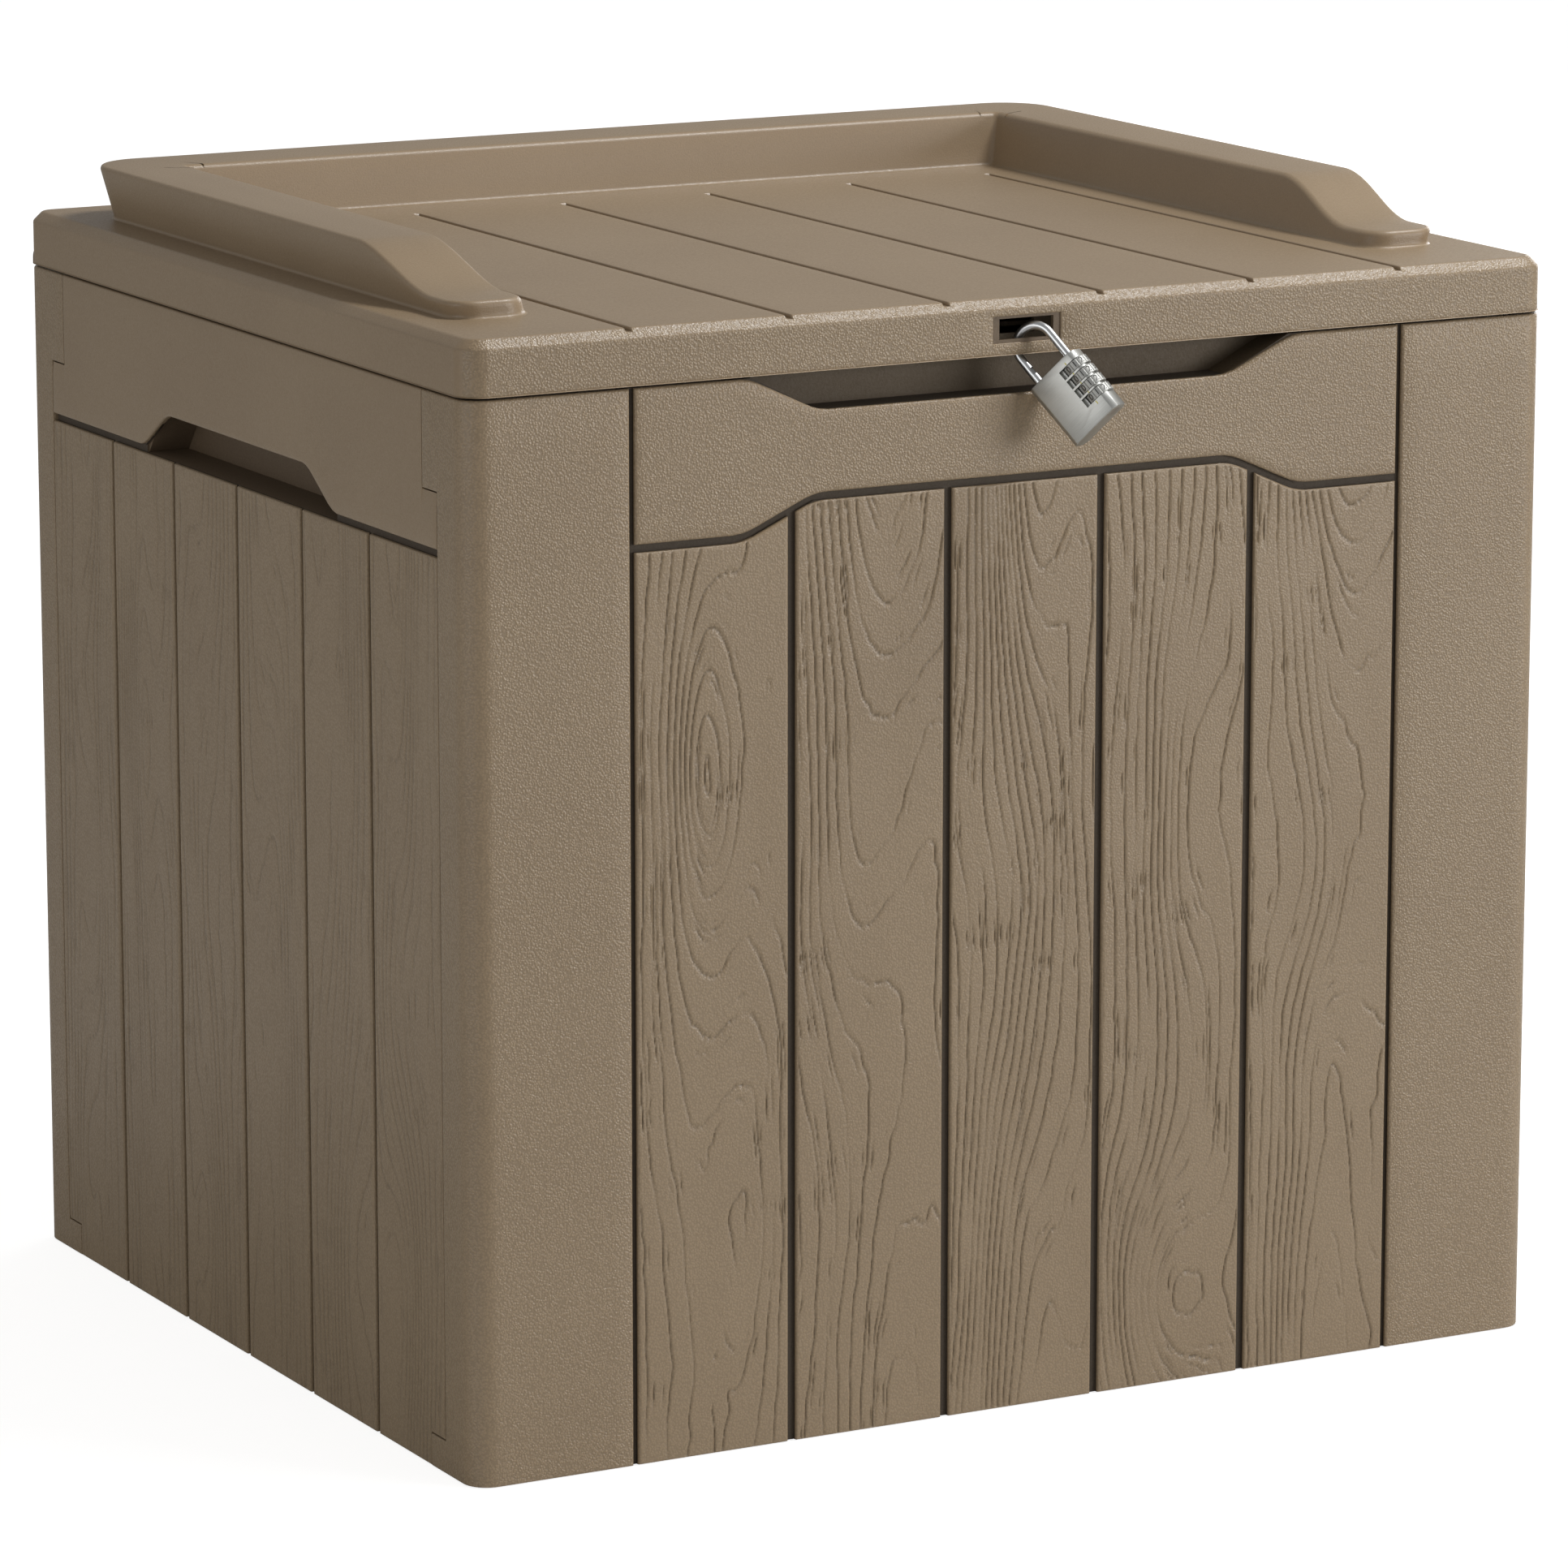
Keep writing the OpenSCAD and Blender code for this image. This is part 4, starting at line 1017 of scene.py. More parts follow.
@dataclass
class LidCover:
    """The lid's outer skin: grooved boards, a chamfer, and a skirt with the lock slot."""

    finishes: FinishShelf
    groove_half: float = 1.5
    groove_z: float = 514.15
    groove_end: float = 139.0
    thick: float = 1.05
    frame_half: float = 17.5
    frame_low: float = 496.0
    frame_high: float = 508.2
    cove_r: float = 7.0

    def profile(self) -> Array:
        """Section from the skirt's lower rim up to the flat top, as rows of reach and height."""
        r, low = PLAN.corner_r, PLAN.skirt_z + PLAN.hair
        rim = 0.8
        points = [(r - rim + rim * math.sin(math.pi / 8 * k), low + rim - rim * math.cos(math.pi / 8 * k))
                  for k in range(5)]
        lip = edge_steps(0.5, 3)
        points += [(r, z) for z in (493.4,) + tuple(self.frame_low - e for e in reversed(lip))]
        points += [(r, z) for z in (500.0, 504.0) + tuple(self.frame_high + e for e in lip) + (509.8,)]
        # chamfer with softened edges
        points += [(r, 510.7), (r - 0.06, 511.15), (r - 0.22, 511.6), (r - 0.55, 512.05), (r - 1.6, 513.1),
                   (r - 2.7, 514.2), (r - 3.75, 515.25), (r - 4.15, 515.58), (r - 4.65, 515.83),
                   (r - 5.3, 515.96),
                   (r - 6.2, 516.0), (r - 9.0, 516.0), (0.0, 516.0)]
        return np.array(points)

    def groove_lines(self) -> list[float]:
        """Grid lines across the grooves between the boards."""
        offsets = [0.0, 1.3, 1.42, 1.5, 1.58, 1.75, 2.05, 2.5]
        middles = [-PLAN.post_x + i * PLAN.pitch for i in range(PLAN.front_planks + 1)]
        return [m + side * o for m in middles for o in offsets for side in (-1, 1)]

    def groove_share(self, x: Array, y: Array) -> Array:
        """How deep the grooves are at each point, from 0 to 1."""
        near = np.min([np.abs(x + PLAN.post_x - i * PLAN.pitch) for i in range(PLAN.front_planks + 1)], 0)
        across = np.interp(near, [1.42, 1.5, 1.58, 1.75, 2.05, 2.5], [1.0, 0.55, 0.28, 0.11, 0.03, 0.0])
        return across * np.interp(y, [self.groove_end - 1.2, self.groove_end, self.groove_end + 0.6],
                                  [1.0, 0.4, 0.0])

    def build(self) -> None:
        """Builds the cover."""
        section = self.profile()[::-1]
        last = len(section) - 1
        slope = np.gradient(section, axis=0)
        normal = np.stack([-slope[:, 1], slope[:, 0]], -1)
        normal *= np.sign(normal.sum(1))[:, None] / np.maximum(np.hypot(*normal.T), 1e-9)[:, None]
        inner = section - self.thick * normal
        inner[:, 1] = np.maximum(inner[:, 1], PLAN.skirt_z + PLAN.hair)
        inner[:, 0] = np.maximum(inner[:, 0], 0)
        flat_x, flat_y = PLAN.half_w - PLAN.corner_r, PLAN.half_d - PLAN.corner_r
        lip = edge_steps(0.5, 3)
        marks = self.groove_lines() + [s * (self.frame_half + e) for e in lip for s in (-1, 1)]
        x_lines = stations(-flat_x, flat_x, 16.0, (1.0, 1.0), marks)
        end = self.groove_end
        y_lines = stations(-flat_y, flat_y, 16.0, (1.0, 1.0),
                           (end - 3, end - 1.2, end - 0.6, end, end + 0.3, end + 0.6))
        fold_x = np.concatenate([np.arange(last, 0, -1), np.zeros(len(x_lines), int), np.arange(1, last + 1)])
        fold_y = np.concatenate([np.arange(last, 0, -1), np.zeros(len(y_lines), int), np.arange(1, last + 1)])
        base_x = np.concatenate([np.full(last, -flat_x), x_lines, np.full(last, flat_x)])
        base_y = np.concatenate([np.full(last, -flat_y), y_lines, np.full(last, flat_y)])
        a, b = np.meshgrid(fold_x, fold_y, indexing="ij")
        x0, y0 = np.meshgrid(base_x, base_y, indexing="ij")
        most, least = np.maximum(a, b), np.minimum(a, b)
        turn = math.pi / 4 * np.divide(least, most, out=np.zeros(a.shape), where=most > 0)
        angle = np.where(a >= b, turn, math.pi / 2 - turn)
        grids = []
        for shape in (section, inner):
            reach = shape[most, 0]
            x = x0 + np.sign(x0) * reach * np.cos(angle) * (a > 0)
            y = y0 + np.sign(y0) * reach * np.sin(angle) * (b > 0)
            grids.append(np.stack([x, y, shape[most, 1]], -1))
        front, back = grids
        share = self.groove_share(front[..., 0], front[..., 1])
        drop = share * np.maximum(front[..., 2] - self.groove_z, 0)
        front[..., 2] -= drop
        back[..., 2] = np.minimum(back[..., 2], np.where(drop > 0, front[..., 2] - 0.5, 1e9))
        self.cove(front)
        self.cove(back)
        self.lip(front)
        kept = np.ones((a.shape[0] - 1, a.shape[1] - 1), bool)
        mid = (front[:-1, :-1] + front[1:, 1:]) / 2
        kept &= ~((np.abs(mid[..., 0]) < self.frame_half) & (mid[..., 1] < -PLAN.half_d + 2)
                  & (mid[..., 2] > self.frame_low) & (mid[..., 2] < self.frame_high))
        points, quads, others = closed_sheet(front, back, kept, False)
        mesh = build_mesh("lid_cover", points, quads, others, 38.0)
        piece = add_piece("lid_cover", mesh, "lid", ["lid_shell"], self.finishes.satin)
        self.pebble_front(piece)

    def cove(self, grid: Array) -> None:
        """Lifts the skirt's lower rim over the cove under the back edge."""
        low, fixed = PLAN.skirt_z + PLAN.hair, 511.0
        past = np.clip(PLAN.half_d - grid[..., 1], 0, self.cove_r)
        rim = PLAN.skirt_z - 0.5 + np.sqrt(self.cove_r**2 - past**2) + 0.3
        rim = np.where(past < self.cove_r, np.maximum(rim, low), low)
        below = grid[..., 2] < fixed
        lifted = rim + (grid[..., 2] - low) * (fixed - rim) / (fixed - low)
        grid[..., 2] = np.where(below, lifted, grid[..., 2])

    def lip(self, grid: Array) -> None:
        """Rounds the rim of the slot's shallow frame."""
        x, y, z = grid[..., 0], grid[..., 1], grid[..., 2]
        side = np.maximum(np.abs(x) - self.frame_half, 0)
        up = np.maximum(np.maximum(z - self.frame_high, self.frame_low - z), 0)
        on_face = (y < -PLAN.half_d + 0.01) & (z < 510)
        grid[..., 1] = np.where(on_face, y + rounding(np.hypot(side, up), 0.5), y)

    def pebble_front(self, piece: bpy.types.Object) -> None:
        """Gives the front skirt and the chamfer above it their coarser pebbles."""
        piece.data.materials.append(self.finishes.pebbled)
        normals = np.empty(len(piece.data.polygons) * 3)
        centres = np.empty(len(piece.data.polygons) * 3)
        piece.data.polygons.foreach_get("normal", normals)
        piece.data.polygons.foreach_get("center", centres)
        facing = normals.reshape(-1, 3)[:, 1] < -0.5
        outer = centres.reshape(-1, 3)[:, 1] < (-PLAN.half_d + 6) * MM
        piece.data.polygons.foreach_set("material_index", (facing & outer).astype(np.int32))


@dataclass
class LidRail:
    """The flared U-shaped rail with its curved climbs and low round pads."""

    finishes: FinishShelf
    out_x: float = 256.0
    back_y: float = 206.0
    width: float = 38.0
    lean: float = 7.0
    height: float = 26.0
    corner_r: float = 20.0
    inner_r: float = 2.5
    pad_end: float = -187.0
    pad_len: float = 24.0
    pad_r: float = 13.0
    pad_height: float = 8.0
    climb: float = 66.0
    edge_r: float = 2.4

    def top(self, y: Array) -> Array:
        """Height of the rail's top above the lid at a place along an arm."""
        part = np.clip((y - self.pad_end - self.pad_len) / self.climb, 0, 1)
        return self.pad_height + (self.height - self.pad_height) * part * part * (3 - 2 * part)

    def half_plan(self) -> tuple[Array, Array, Array]:
        """Right half of the plan at the foot, from the pad's end to the middle of the back.

        Returns:
            Outer points, inner points, and the way each pair leans.
        """
        outer, inner, lean = [], [], []
        in_x, in_y = self.out_x - self.width, self.back_y - self.width
        for k in range(9):
            turn = math.pi / 2 * k / 8
            across, ahead = self.pad_r * (1 - math.sin(turn)), self.pad_r * (1 - math.cos(turn))
            outer.append((self.out_x - across, self.pad_end + ahead))
            inner.append((in_x + across, self.pad_end + ahead))
            lean.append((1.0, 0.0))
        climb_start = self.pad_end + self.pad_len
        stops = list(np.linspace(self.pad_end + self.pad_r, climb_start, 4)[1:])
        stops += list(np.linspace(climb_start, climb_start + self.climb, 25)[1:])
        stops += list(np.linspace(climb_start + self.climb, in_y - self.inner_r, 12)[1:])
        for y in stops:
            outer.append((self.out_x, y))
            inner.append((in_x, y))
            lean.append((1.0, 0.0))
        # the corner: a wide arc outside and a tight one inside
        arc_x, arc_y = self.out_x - self.corner_r, self.back_y - self.corner_r
        reach = arc_y - (in_y - self.inner_r)
        for k in range(1, 5):
            outer.append((self.out_x, in_y - self.inner_r + reach * k / 4))
            inner.append(inner[-1])
            lean.append((1.0, 0.0))
        for k in range(1, 13):
            turn = math.pi / 2 * k / 12
            outer.append((arc_x + self.corner_r * math.cos(turn), arc_y + self.corner_r * math.sin(turn)))
            inner.append((in_x - self.inner_r * (1 - math.cos(turn)),
                          in_y - self.inner_r * (1 - math.sin(turn))))
            lean.append((math.cos(turn), math.sin(turn)))
        for x in np.linspace(arc_x, in_x - self.inner_r, 3)[1:]:
            outer.append((x, self.back_y))
            inner.append(inner[-1])
            lean.append((0.0, 1.0))
        for x in np.linspace(in_x - self.inner_r, 0, 12)[1:]:
            outer.append((x, self.back_y))
            inner.append((x, in_y))
            lean.append((0.0, 1.0))
        return np.array(outer), np.array(inner), np.array(lean)

    def build(self) -> None:
        """Builds the rail as one closed skin."""
        outer, inner, lean = self.half_plan()
        flip = np.array([-1.0, 1.0])
        outer = np.concatenate([outer, (outer * flip)[-2::-1]])
        inner = np.concatenate([inner, (inner * flip)[-2::-1]])
        lean = np.concatenate([lean, (lean * flip)[-2::-1]])
        inner_lean = np.where(np.abs(lean) > 0.02, np.sign(lean), 0.0)
        corner = (np.abs(lean) > 0.02).all(1)
        inner_lean[~corner] = lean[~corner]
        plan = np.concatenate([outer, inner[::-1]])
        leans = np.concatenate([lean, inner_lean[::-1]])
        ahead, behind = np.roll(plan, -1, 0), np.roll(plan, 1, 0)
        way = ahead - behind
        way /= np.maximum(np.hypot(*way.T), 1e-9)[:, None]
        normal = np.stack([way[:, 1], -way[:, 0]], -1)
        count = len(outer)
        # the outer line runs with the solid on its left, the inner line closes the ring
        area = float(np.sum(plan[:, 0] * ahead[:, 1] - ahead[:, 0] * plan[:, 1]))
        normal *= np.sign(area)
        tops = self.top(plan[:, 1])
        slope = self.lean / self.height
        rings = []
        foot = [(1.5, -0.5), (1.4, 0.02), (0.65, 0.28), (0.2, 0.8), (0.0, 1.7)]
        for spread, up in foot:
            rings.append((plan + normal * spread + leans * slope * max(up, 0), np.full(len(plan), up)))
        for share in (0.35, 0.7):
            up = 1.7 + (tops - self.edge_r - 1.7) * share
            rings.append((plan + leans * slope * up[:, None], up))
        for k in range(6):
            turn = math.pi / 2 * k / 5
            up = tops - self.edge_r * (1 - math.sin(turn))
            ring = plan + leans * slope * up[:, None] - normal * self.edge_r * (1 - math.cos(turn))
            rings.append((ring, up))
        points = np.stack([np.concatenate([ring, up[:, None] + PLAN.lid_top], 1) for ring, up in rings], 1)
        n, m = points.shape[:2]
        quads = wrapped_grid(points, across=False)
        ids = np.arange(n * m).reshape(n, m)
        out_ids, in_ids = ids[:count], ids[count:][::-1]
        flats = []
        extra = []
        shares = (0.33, 0.67)
        top_rows = [out_ids[:, -1]]
        start = n * m
        for share in shares:
            line = points[:count, -1] * (1 - share) + points[count:][::-1][:, -1] * share
            extra.append(line)
            top_rows.append(start + np.arange(count))
            start += count
        top_rows.append(in_ids[:, -1])
        for one, two in zip(top_rows[:-1], top_rows[1:]):
            flats.append(np.stack([one[:-1], one[1:], two[1:], two[:-1]], -1))
        flats.append(np.stack([out_ids[1:, 0], out_ids[:-1, 0], in_ids[:-1, 0], in_ids[1:, 0]], -1))
        # the two pad ends close with one face each across the added rows
        ends = [[int(top_rows[k][e]) for k in range(4)] for e in (0, -1)]
        points = np.concatenate([points.reshape(-1, 3), *extra])
        quads = np.concatenate([quads, *flats])
        mesh = bpy.data.meshes.new("lid_rail")
        mesh.from_pydata((points * MM).tolist(), [], quads.tolist() + [ends[0][::-1], ends[1]])
        work = bmesh.new()
        work.from_mesh(mesh)
        bmesh.ops.remove_doubles(work, verts=work.verts, dist=2e-5)
        bmesh.ops.dissolve_degenerate(work, edges=work.edges, dist=1e-6)
        bmesh.ops.recalc_face_normals(work, faces=work.faces)
        work.to_mesh(mesh)
        work.free()
        mesh.polygons.foreach_set("use_smooth", np.ones(len(mesh.polygons), bool))
        mesh.set_sharp_from_angle(angle=math.radians(40))
        add_piece("lid_rail", mesh, "lid", ["lid_shell"], self.finishes.satin)


@dataclass
class Lid:
    """The lid's pieces: core, cover and rail; the liner and its screws stay as solids of the frame."""

    finishes: FinishShelf

    def under_cover(self, points: Array) -> Array:
        """Moves the shell's outer points in behind the cover and cuts it level under the top.

        Args:
            points: rows of x, y, z in millimetres.

        Returns:
            The moved points.
        """
        inset, way = PLAN.inset(points)
        chamfer_low, pull = 511.5, 1.1
        out = points.copy()
        outer = (inset < ON_FACE) | (np.abs(points[:, 2] - chamfer_low - inset) < ON_FACE)
        out[outer, :2] -= pull * way[outer]
        out[:, 2] = np.minimum(out[:, 2], PLAN.lid_top - pull)
        return out

    def build(self) -> None:
        """Builds the lid's pieces."""
        add_piece("lid_core", core_mesh("lid_shell", "lid_core", self.under_cover), "lid", ["lid_shell"],
                  self.finishes.inner)
        LidCover(self.finishes).build()
        LidRail(self.finishes).build()


# ---------------------------------------------------------------- padlock


@dataclass
class Padlock:
    """The combination padlock: shackle, windowed case, four numbered dials."""

    finishes: FinishShelf
    middle: tuple[float, float, float] = (8.6, -254.1, 484.0)
    turn: tuple[float, float, float] = (-4.6, -45.2, -52.8)
    half_w: float = 14.25
    half_t: float = 6.0
    height: float = 33.0
    chamfer: float = 2.2
    leg_x: float = 9.5
    rod_r: float = 2.0
    leg_up: float = 14.0
    long_leg: float = 28.0
    short_leg: float = 6.0
    dial_r: float = 6.2
    dial_t: float = 4.2
    first_dial: float = 6.2
    pitch: float = 5.4
    bore_r: float = 2.08
    digit_step: float = 36.0
    first_digit: float = -18.0
    digit_size: float = 4.2
    digit_rise: float = 0.05
    dial_gap: float = 0.3
    window_gap: float = 0.15
    plug_r: float = 3.0
    plug_t: float = 2.0
    mark_x: tuple[float, float] = (7.95, 8.4)
    mark_half: float = 0.38
    top_mark: tuple[float, float] = (-3.75, -2.5)
    foot_mark: tuple[float, float] = (-26.6, -24.9)

    def place(self) -> Matrix:
        """The padlock's own frame in the scene."""
        rx, ry, rz = (math.radians(t) for t in self.turn)
        spin = Matrix.Rotation(rz, 4, "Z") @ Matrix.Rotation(ry, 4, "Y") @ Matrix.Rotation(rx, 4, "X")
        return Matrix.Translation(Vector(self.middle) * MM) @ spin

    def shackle(self) -> None:
        """Builds the bent rod with the latch notch in its short leg."""
        path: list[tuple[Array, Array]] = []
        up = np.array([0.0, 0.0, 1.0])
        for z in (-self.long_leg, -self.long_leg + 0.01, -10.0, 0.0, 7.0):
            path.append((np.array([self.leg_x, 0, z]), up))
        for k in range(29):
            t = math.pi * k / 28
            path.append((np.array([self.leg_x * math.cos(t), 0, self.leg_up + self.leg_x * math.sin(t)]),
                         np.array([-math.sin(t), 0, math.cos(t)])))
        for z in (11.0, 8.45, 8.35, 7.0, 5.05, 4.95, 0.0, -self.short_leg + 0.6, -self.short_leg):
            path.append((np.array([-self.leg_x, 0, z]), -up))
        rings = []
        sides = 36
        for i, (at, along) in enumerate(path):
            side = np.array([0.0, 1.0, 0.0])
            out = np.cross(side, along)
            r = self.rod_r * (0.8 if i in (0, len(path) - 1) else 1.0)
            ring = [at + r * (math.cos(a) * side + math.sin(a) * out) for a in np.linspace(0, 2 * math.pi,
                                                                                           sides, False)]
            ring = np.array(ring)
            if along[2] < -0.9 and 4.97 < at[2] < 8.42:
                ring[:, 0] = np.minimum(ring[:, 0], -self.leg_x + 0.9)
            rings.append(ring)
        points = np.stack(rings, 1)
        quads = wrapped_grid(points, across=False)
        n, m = points.shape[:2]
        ids = np.arange(n * m).reshape(n, m)
        mesh = build_mesh("shackle_rod", points.reshape(-1, 3), quads,
                          [ids[::-1, 0].tolist(), ids[:, -1].tolist()], 35.0)
        add_piece("shackle_rod", mesh, "shackle", ["padlock_shackle"], self.finishes.polished,
                  self.place())

    def outline(self, inset: float) -> Array:
        """The case's eight-sided section with softened corners."""
        w, t, c = self.half_w, self.half_t, self.chamfer
        corners = np.array([(-w + c, -t), (w - c, -t), (w, -t + c), (w, t - c), (w - c, t), (-w + c, t),
                            (-w, t - c),
                            (-w, -t + c)])
        soft = 0.35
        out = []
        for i, corner in enumerate(corners):
            for other in (corners[i - 1], corners[(i + 1) % 8]):
                step = (other - corner) / np.hypot(*(other - corner))
                out.append(corner + step * soft)
        out = np.array(out)
        return out * (1 - inset / np.array([w, t]))

    def case(self) -> None:
        """Builds the case and cuts its windows and bores."""
        top, low = 0.0, -self.height
        rings = [(0.45, top), (0.12, top - 0.12), (0.0, top - 0.45), (0.0, low + 0.45), (0.12, low + 0.12),
                 (0.45, low)]
        points = np.stack([np.concatenate([self.outline(i), np.full((16, 1), z)], 1) for i, z in rings], 1)
        ids = np.arange(16 * 6).reshape(16, 6)
        mesh = build_mesh("case_block", points.reshape(-1, 3), wrapped_grid(points, across=False),
                          [ids[::-1, 0].tolist(), ids[:, -1].tolist()], 30.0)
        block = bpy.data.objects.new("case_block", mesh)
        bpy.context.scene.collection.objects.link(block)
        cutters = []
        for i in range(4):
            z = self.dial_z(i)
            half = self.dial_t / 2 + self.window_gap
            cutters.append(self.cylinder((self.leg_x, 0.0), self.dial_r + self.dial_gap, z - half, z + half))
            cutters.append(self.block((self.leg_x - self.dial_r - self.dial_gap, 20.0), (-7.0, -3.8),
                                      (z - half, z + half)))
        cutters.append(self.cylinder((self.leg_x, 0.0), self.bore_r, -self.height + self.plug_t, 5.0))
        cutters.append(self.cylinder((self.leg_x, 0.0), self.plug_r, -self.height - 1.0, -self.height + 2.01))
        cutters.append(self.cylinder((-self.leg_x, 0.0), self.bore_r, -self.short_leg - 1.5, 5.0))
        for cutter in cutters:
            cut = block.modifiers.new("cut", "BOOLEAN")
            cut.operation, cut.solver, cut.object = "DIFFERENCE", "EXACT", cutter
        bpy.context.view_layer.update()
        final = bpy.data.meshes.new_from_object(block.evaluated_get(bpy.context.evaluated_depsgraph_get()))
        for spare in [block, *cutters]:
            bpy.data.objects.remove(spare)
        final.name = "case_body"
        final.polygons.foreach_set("use_smooth", np.ones(len(final.polygons), bool))
        final.set_sharp_from_angle(angle=math.radians(25))
        self.paint_window_shade(final)
        add_piece("case_body", final, "lock_case", ["padlock_case"], self.finishes.brushed,
                  self.place())
        final.materials.append(self.finishes.black)
        # short marks between the dials, and a longer one above and below them
        spans = [self.top_mark]
        for k in range(1, 4):
            z = -self.first_dial + self.pitch / 2 - k * self.pitch
            spans.append((z - self.mark_half, z + self.mark_half))
        spans.append(self.foot_mark)
        face = (-self.half_t - 0.05, -self.half_t + 0.1)
        marks = [self.block_mesh(self.mark_x, face, span) for span in spans]
        self.join("index_marks", marks, "lock_case", self.finishes.yellow, [])

    def paint_window_shade(self, mesh: bpy.types.Mesh) -> None:
        """Marks the walls of the windows, which get the black as painted shade inside the case."""
        count = len(mesh.polygons)
        centre, normal = np.empty(count * 3), np.empty(count * 3)
        mesh.polygons.foreach_get("center", centre)
        mesh.polygons.foreach_get("normal", normal)
        centre, normal = centre.reshape(-1, 3) / MM, normal.reshape(-1, 3)
        inside = (np.abs(normal[:, 2]) > 0.9) & (np.abs(centre[:, 2] + self.height / 2) < self.height / 2
                                                 - 0.6)
        inside |= (normal[:, 1] < -0.9) & (centre[:, 1] > -self.half_t + 0.1)
        inside |= (normal[:, 0] > 0.9) & (centre[:, 0] < self.half_w - 1)
        to_axis = (self.leg_x - centre[:, 0]) * normal[:, 0] - centre[:, 1] * normal[:, 1]
        near = np.hypot(centre[:, 0] - self.leg_x, centre[:, 1]) < self.dial_r + 0.5
        inside |= (to_axis > 0) & near & (np.abs(normal[:, 2]) < 0.1)
        mesh.polygons.foreach_set("material_index", inside.astype(np.int32))

    def dial_z(self, index: int) -> float:
        """Height of a dial's middle."""
        return -self.first_dial - index * self.pitch

    def cylinder(self, middle: tuple[float, float], radius: float, low: float,
                 high: float) -> bpy.types.Object:
        """A round cutter along the padlock's height.

        Args:
            middle: its axis, in the padlock's own plan.
            radius: its radius.
            low: height of its foot.
            high: height of its top.

        Returns:
            The cutter, hidden from renders.
        """
        count = 96
        turn = np.linspace(0, 2 * math.pi, count, False)
        ring = np.stack([middle[0] + radius * np.cos(turn), middle[1] + radius * np.sin(turn)], -1)
        points = np.stack([np.concatenate([ring, np.full((count, 1), z)], 1) for z in (low, high)], 1)
        ids = np.arange(count * 2).reshape(count, 2)
        mesh = build_mesh("cutter", points.reshape(-1, 3), wrapped_grid(points, across=False),
                          [ids[::-1, 0].tolist(), ids[:, -1].tolist()])
        cutter = bpy.data.objects.new("cutter", mesh)
        bpy.context.scene.collection.objects.link(cutter)
        cutter.hide_render = True
        return cutter

    def block_mesh(self, x: tuple[float, float], y: tuple[float, float],
                   z: tuple[float, float]) -> bpy.types.Mesh:
        """A block between three pairs of limits."""
        points = np.array([(a, b, c) for a in x for b in y for c in z], float)
        quads = np.array([(0, 1, 3, 2), (4, 6, 7, 5), (0, 4, 5, 1), (2, 3, 7, 6), (0, 2, 6, 4), (1, 5, 7, 3)])
        return build_mesh("block", points, quads)

    def block(self, x: tuple[float, float], y: tuple[float, float],
              z: tuple[float, float]) -> bpy.types.Object:
        """A square cutter between three pairs of limits."""
        cutter = bpy.data.objects.new("cutter", self.block_mesh(x, y, z))
        bpy.context.scene.collection.objects.link(cutter)
        cutter.hide_render = True
        return cutter

    def join(self, name: str, meshes: Sequence[bpy.types.Mesh], body: str,
             material: bpy.types.Material, stands_for: Sequence[str]) -> None:
        """Joins meshes into one piece in the padlock's frame.

        Args:
            name: the piece's name.
            meshes: what is joined.
            body: the moving body that carries it.
            material: its surface.
            stands_for: solids of the frame that it replaces.
        """
        work = bmesh.new()
        for mesh in meshes:
            work.from_mesh(mesh)
        joined = bpy.data.meshes.new(name)
        work.to_mesh(joined)
        work.free()
        add_piece(name, joined, body, stands_for, material, self.place())

    def digit(self, number: int, turn: float, z: float) -> bpy.types.Mesh:
        """One raised numeral on a dial's rim.

        Args:
            number: the digit.
            turn: its angle round the dial.
            z: height of the dial's middle.

        Returns:
            The numeral's mesh, bent round the rim.
        """
        curve = bpy.data.curves.new("digit", "FONT")
        curve.body = str(number)
        curve.size, curve.extrude = self.digit_size * MM, self.digit_rise * MM
        curve.align_x, curve.align_y = "CENTER", "CENTER"
        text = bpy.data.objects.new("digit", curve)
        bpy.context.scene.collection.objects.link(text)
        bpy.context.view_layer.update()
        mesh = bpy.data.meshes.new_from_object(text.evaluated_get(bpy.context.evaluated_depsgraph_get()))
        bpy.data.objects.remove(text)
        count = len(mesh.vertices)
        flat = np.empty(count * 3)
        mesh.vertices.foreach_get("co", flat)
        flat = flat.reshape(-1, 3) / MM
        # bend the numeral round the rim
        radius = self.dial_r
        angle = turn + flat[:, 0] / radius
        reach = radius + flat[:, 2] - 0.01
        bent = np.stack([self.leg_x + reach * np.sin(angle), -reach * np.cos(angle), z + flat[:, 1]], -1)
        mesh.vertices.foreach_set("co", (bent * MM).ravel())
        mesh.update()
        return mesh

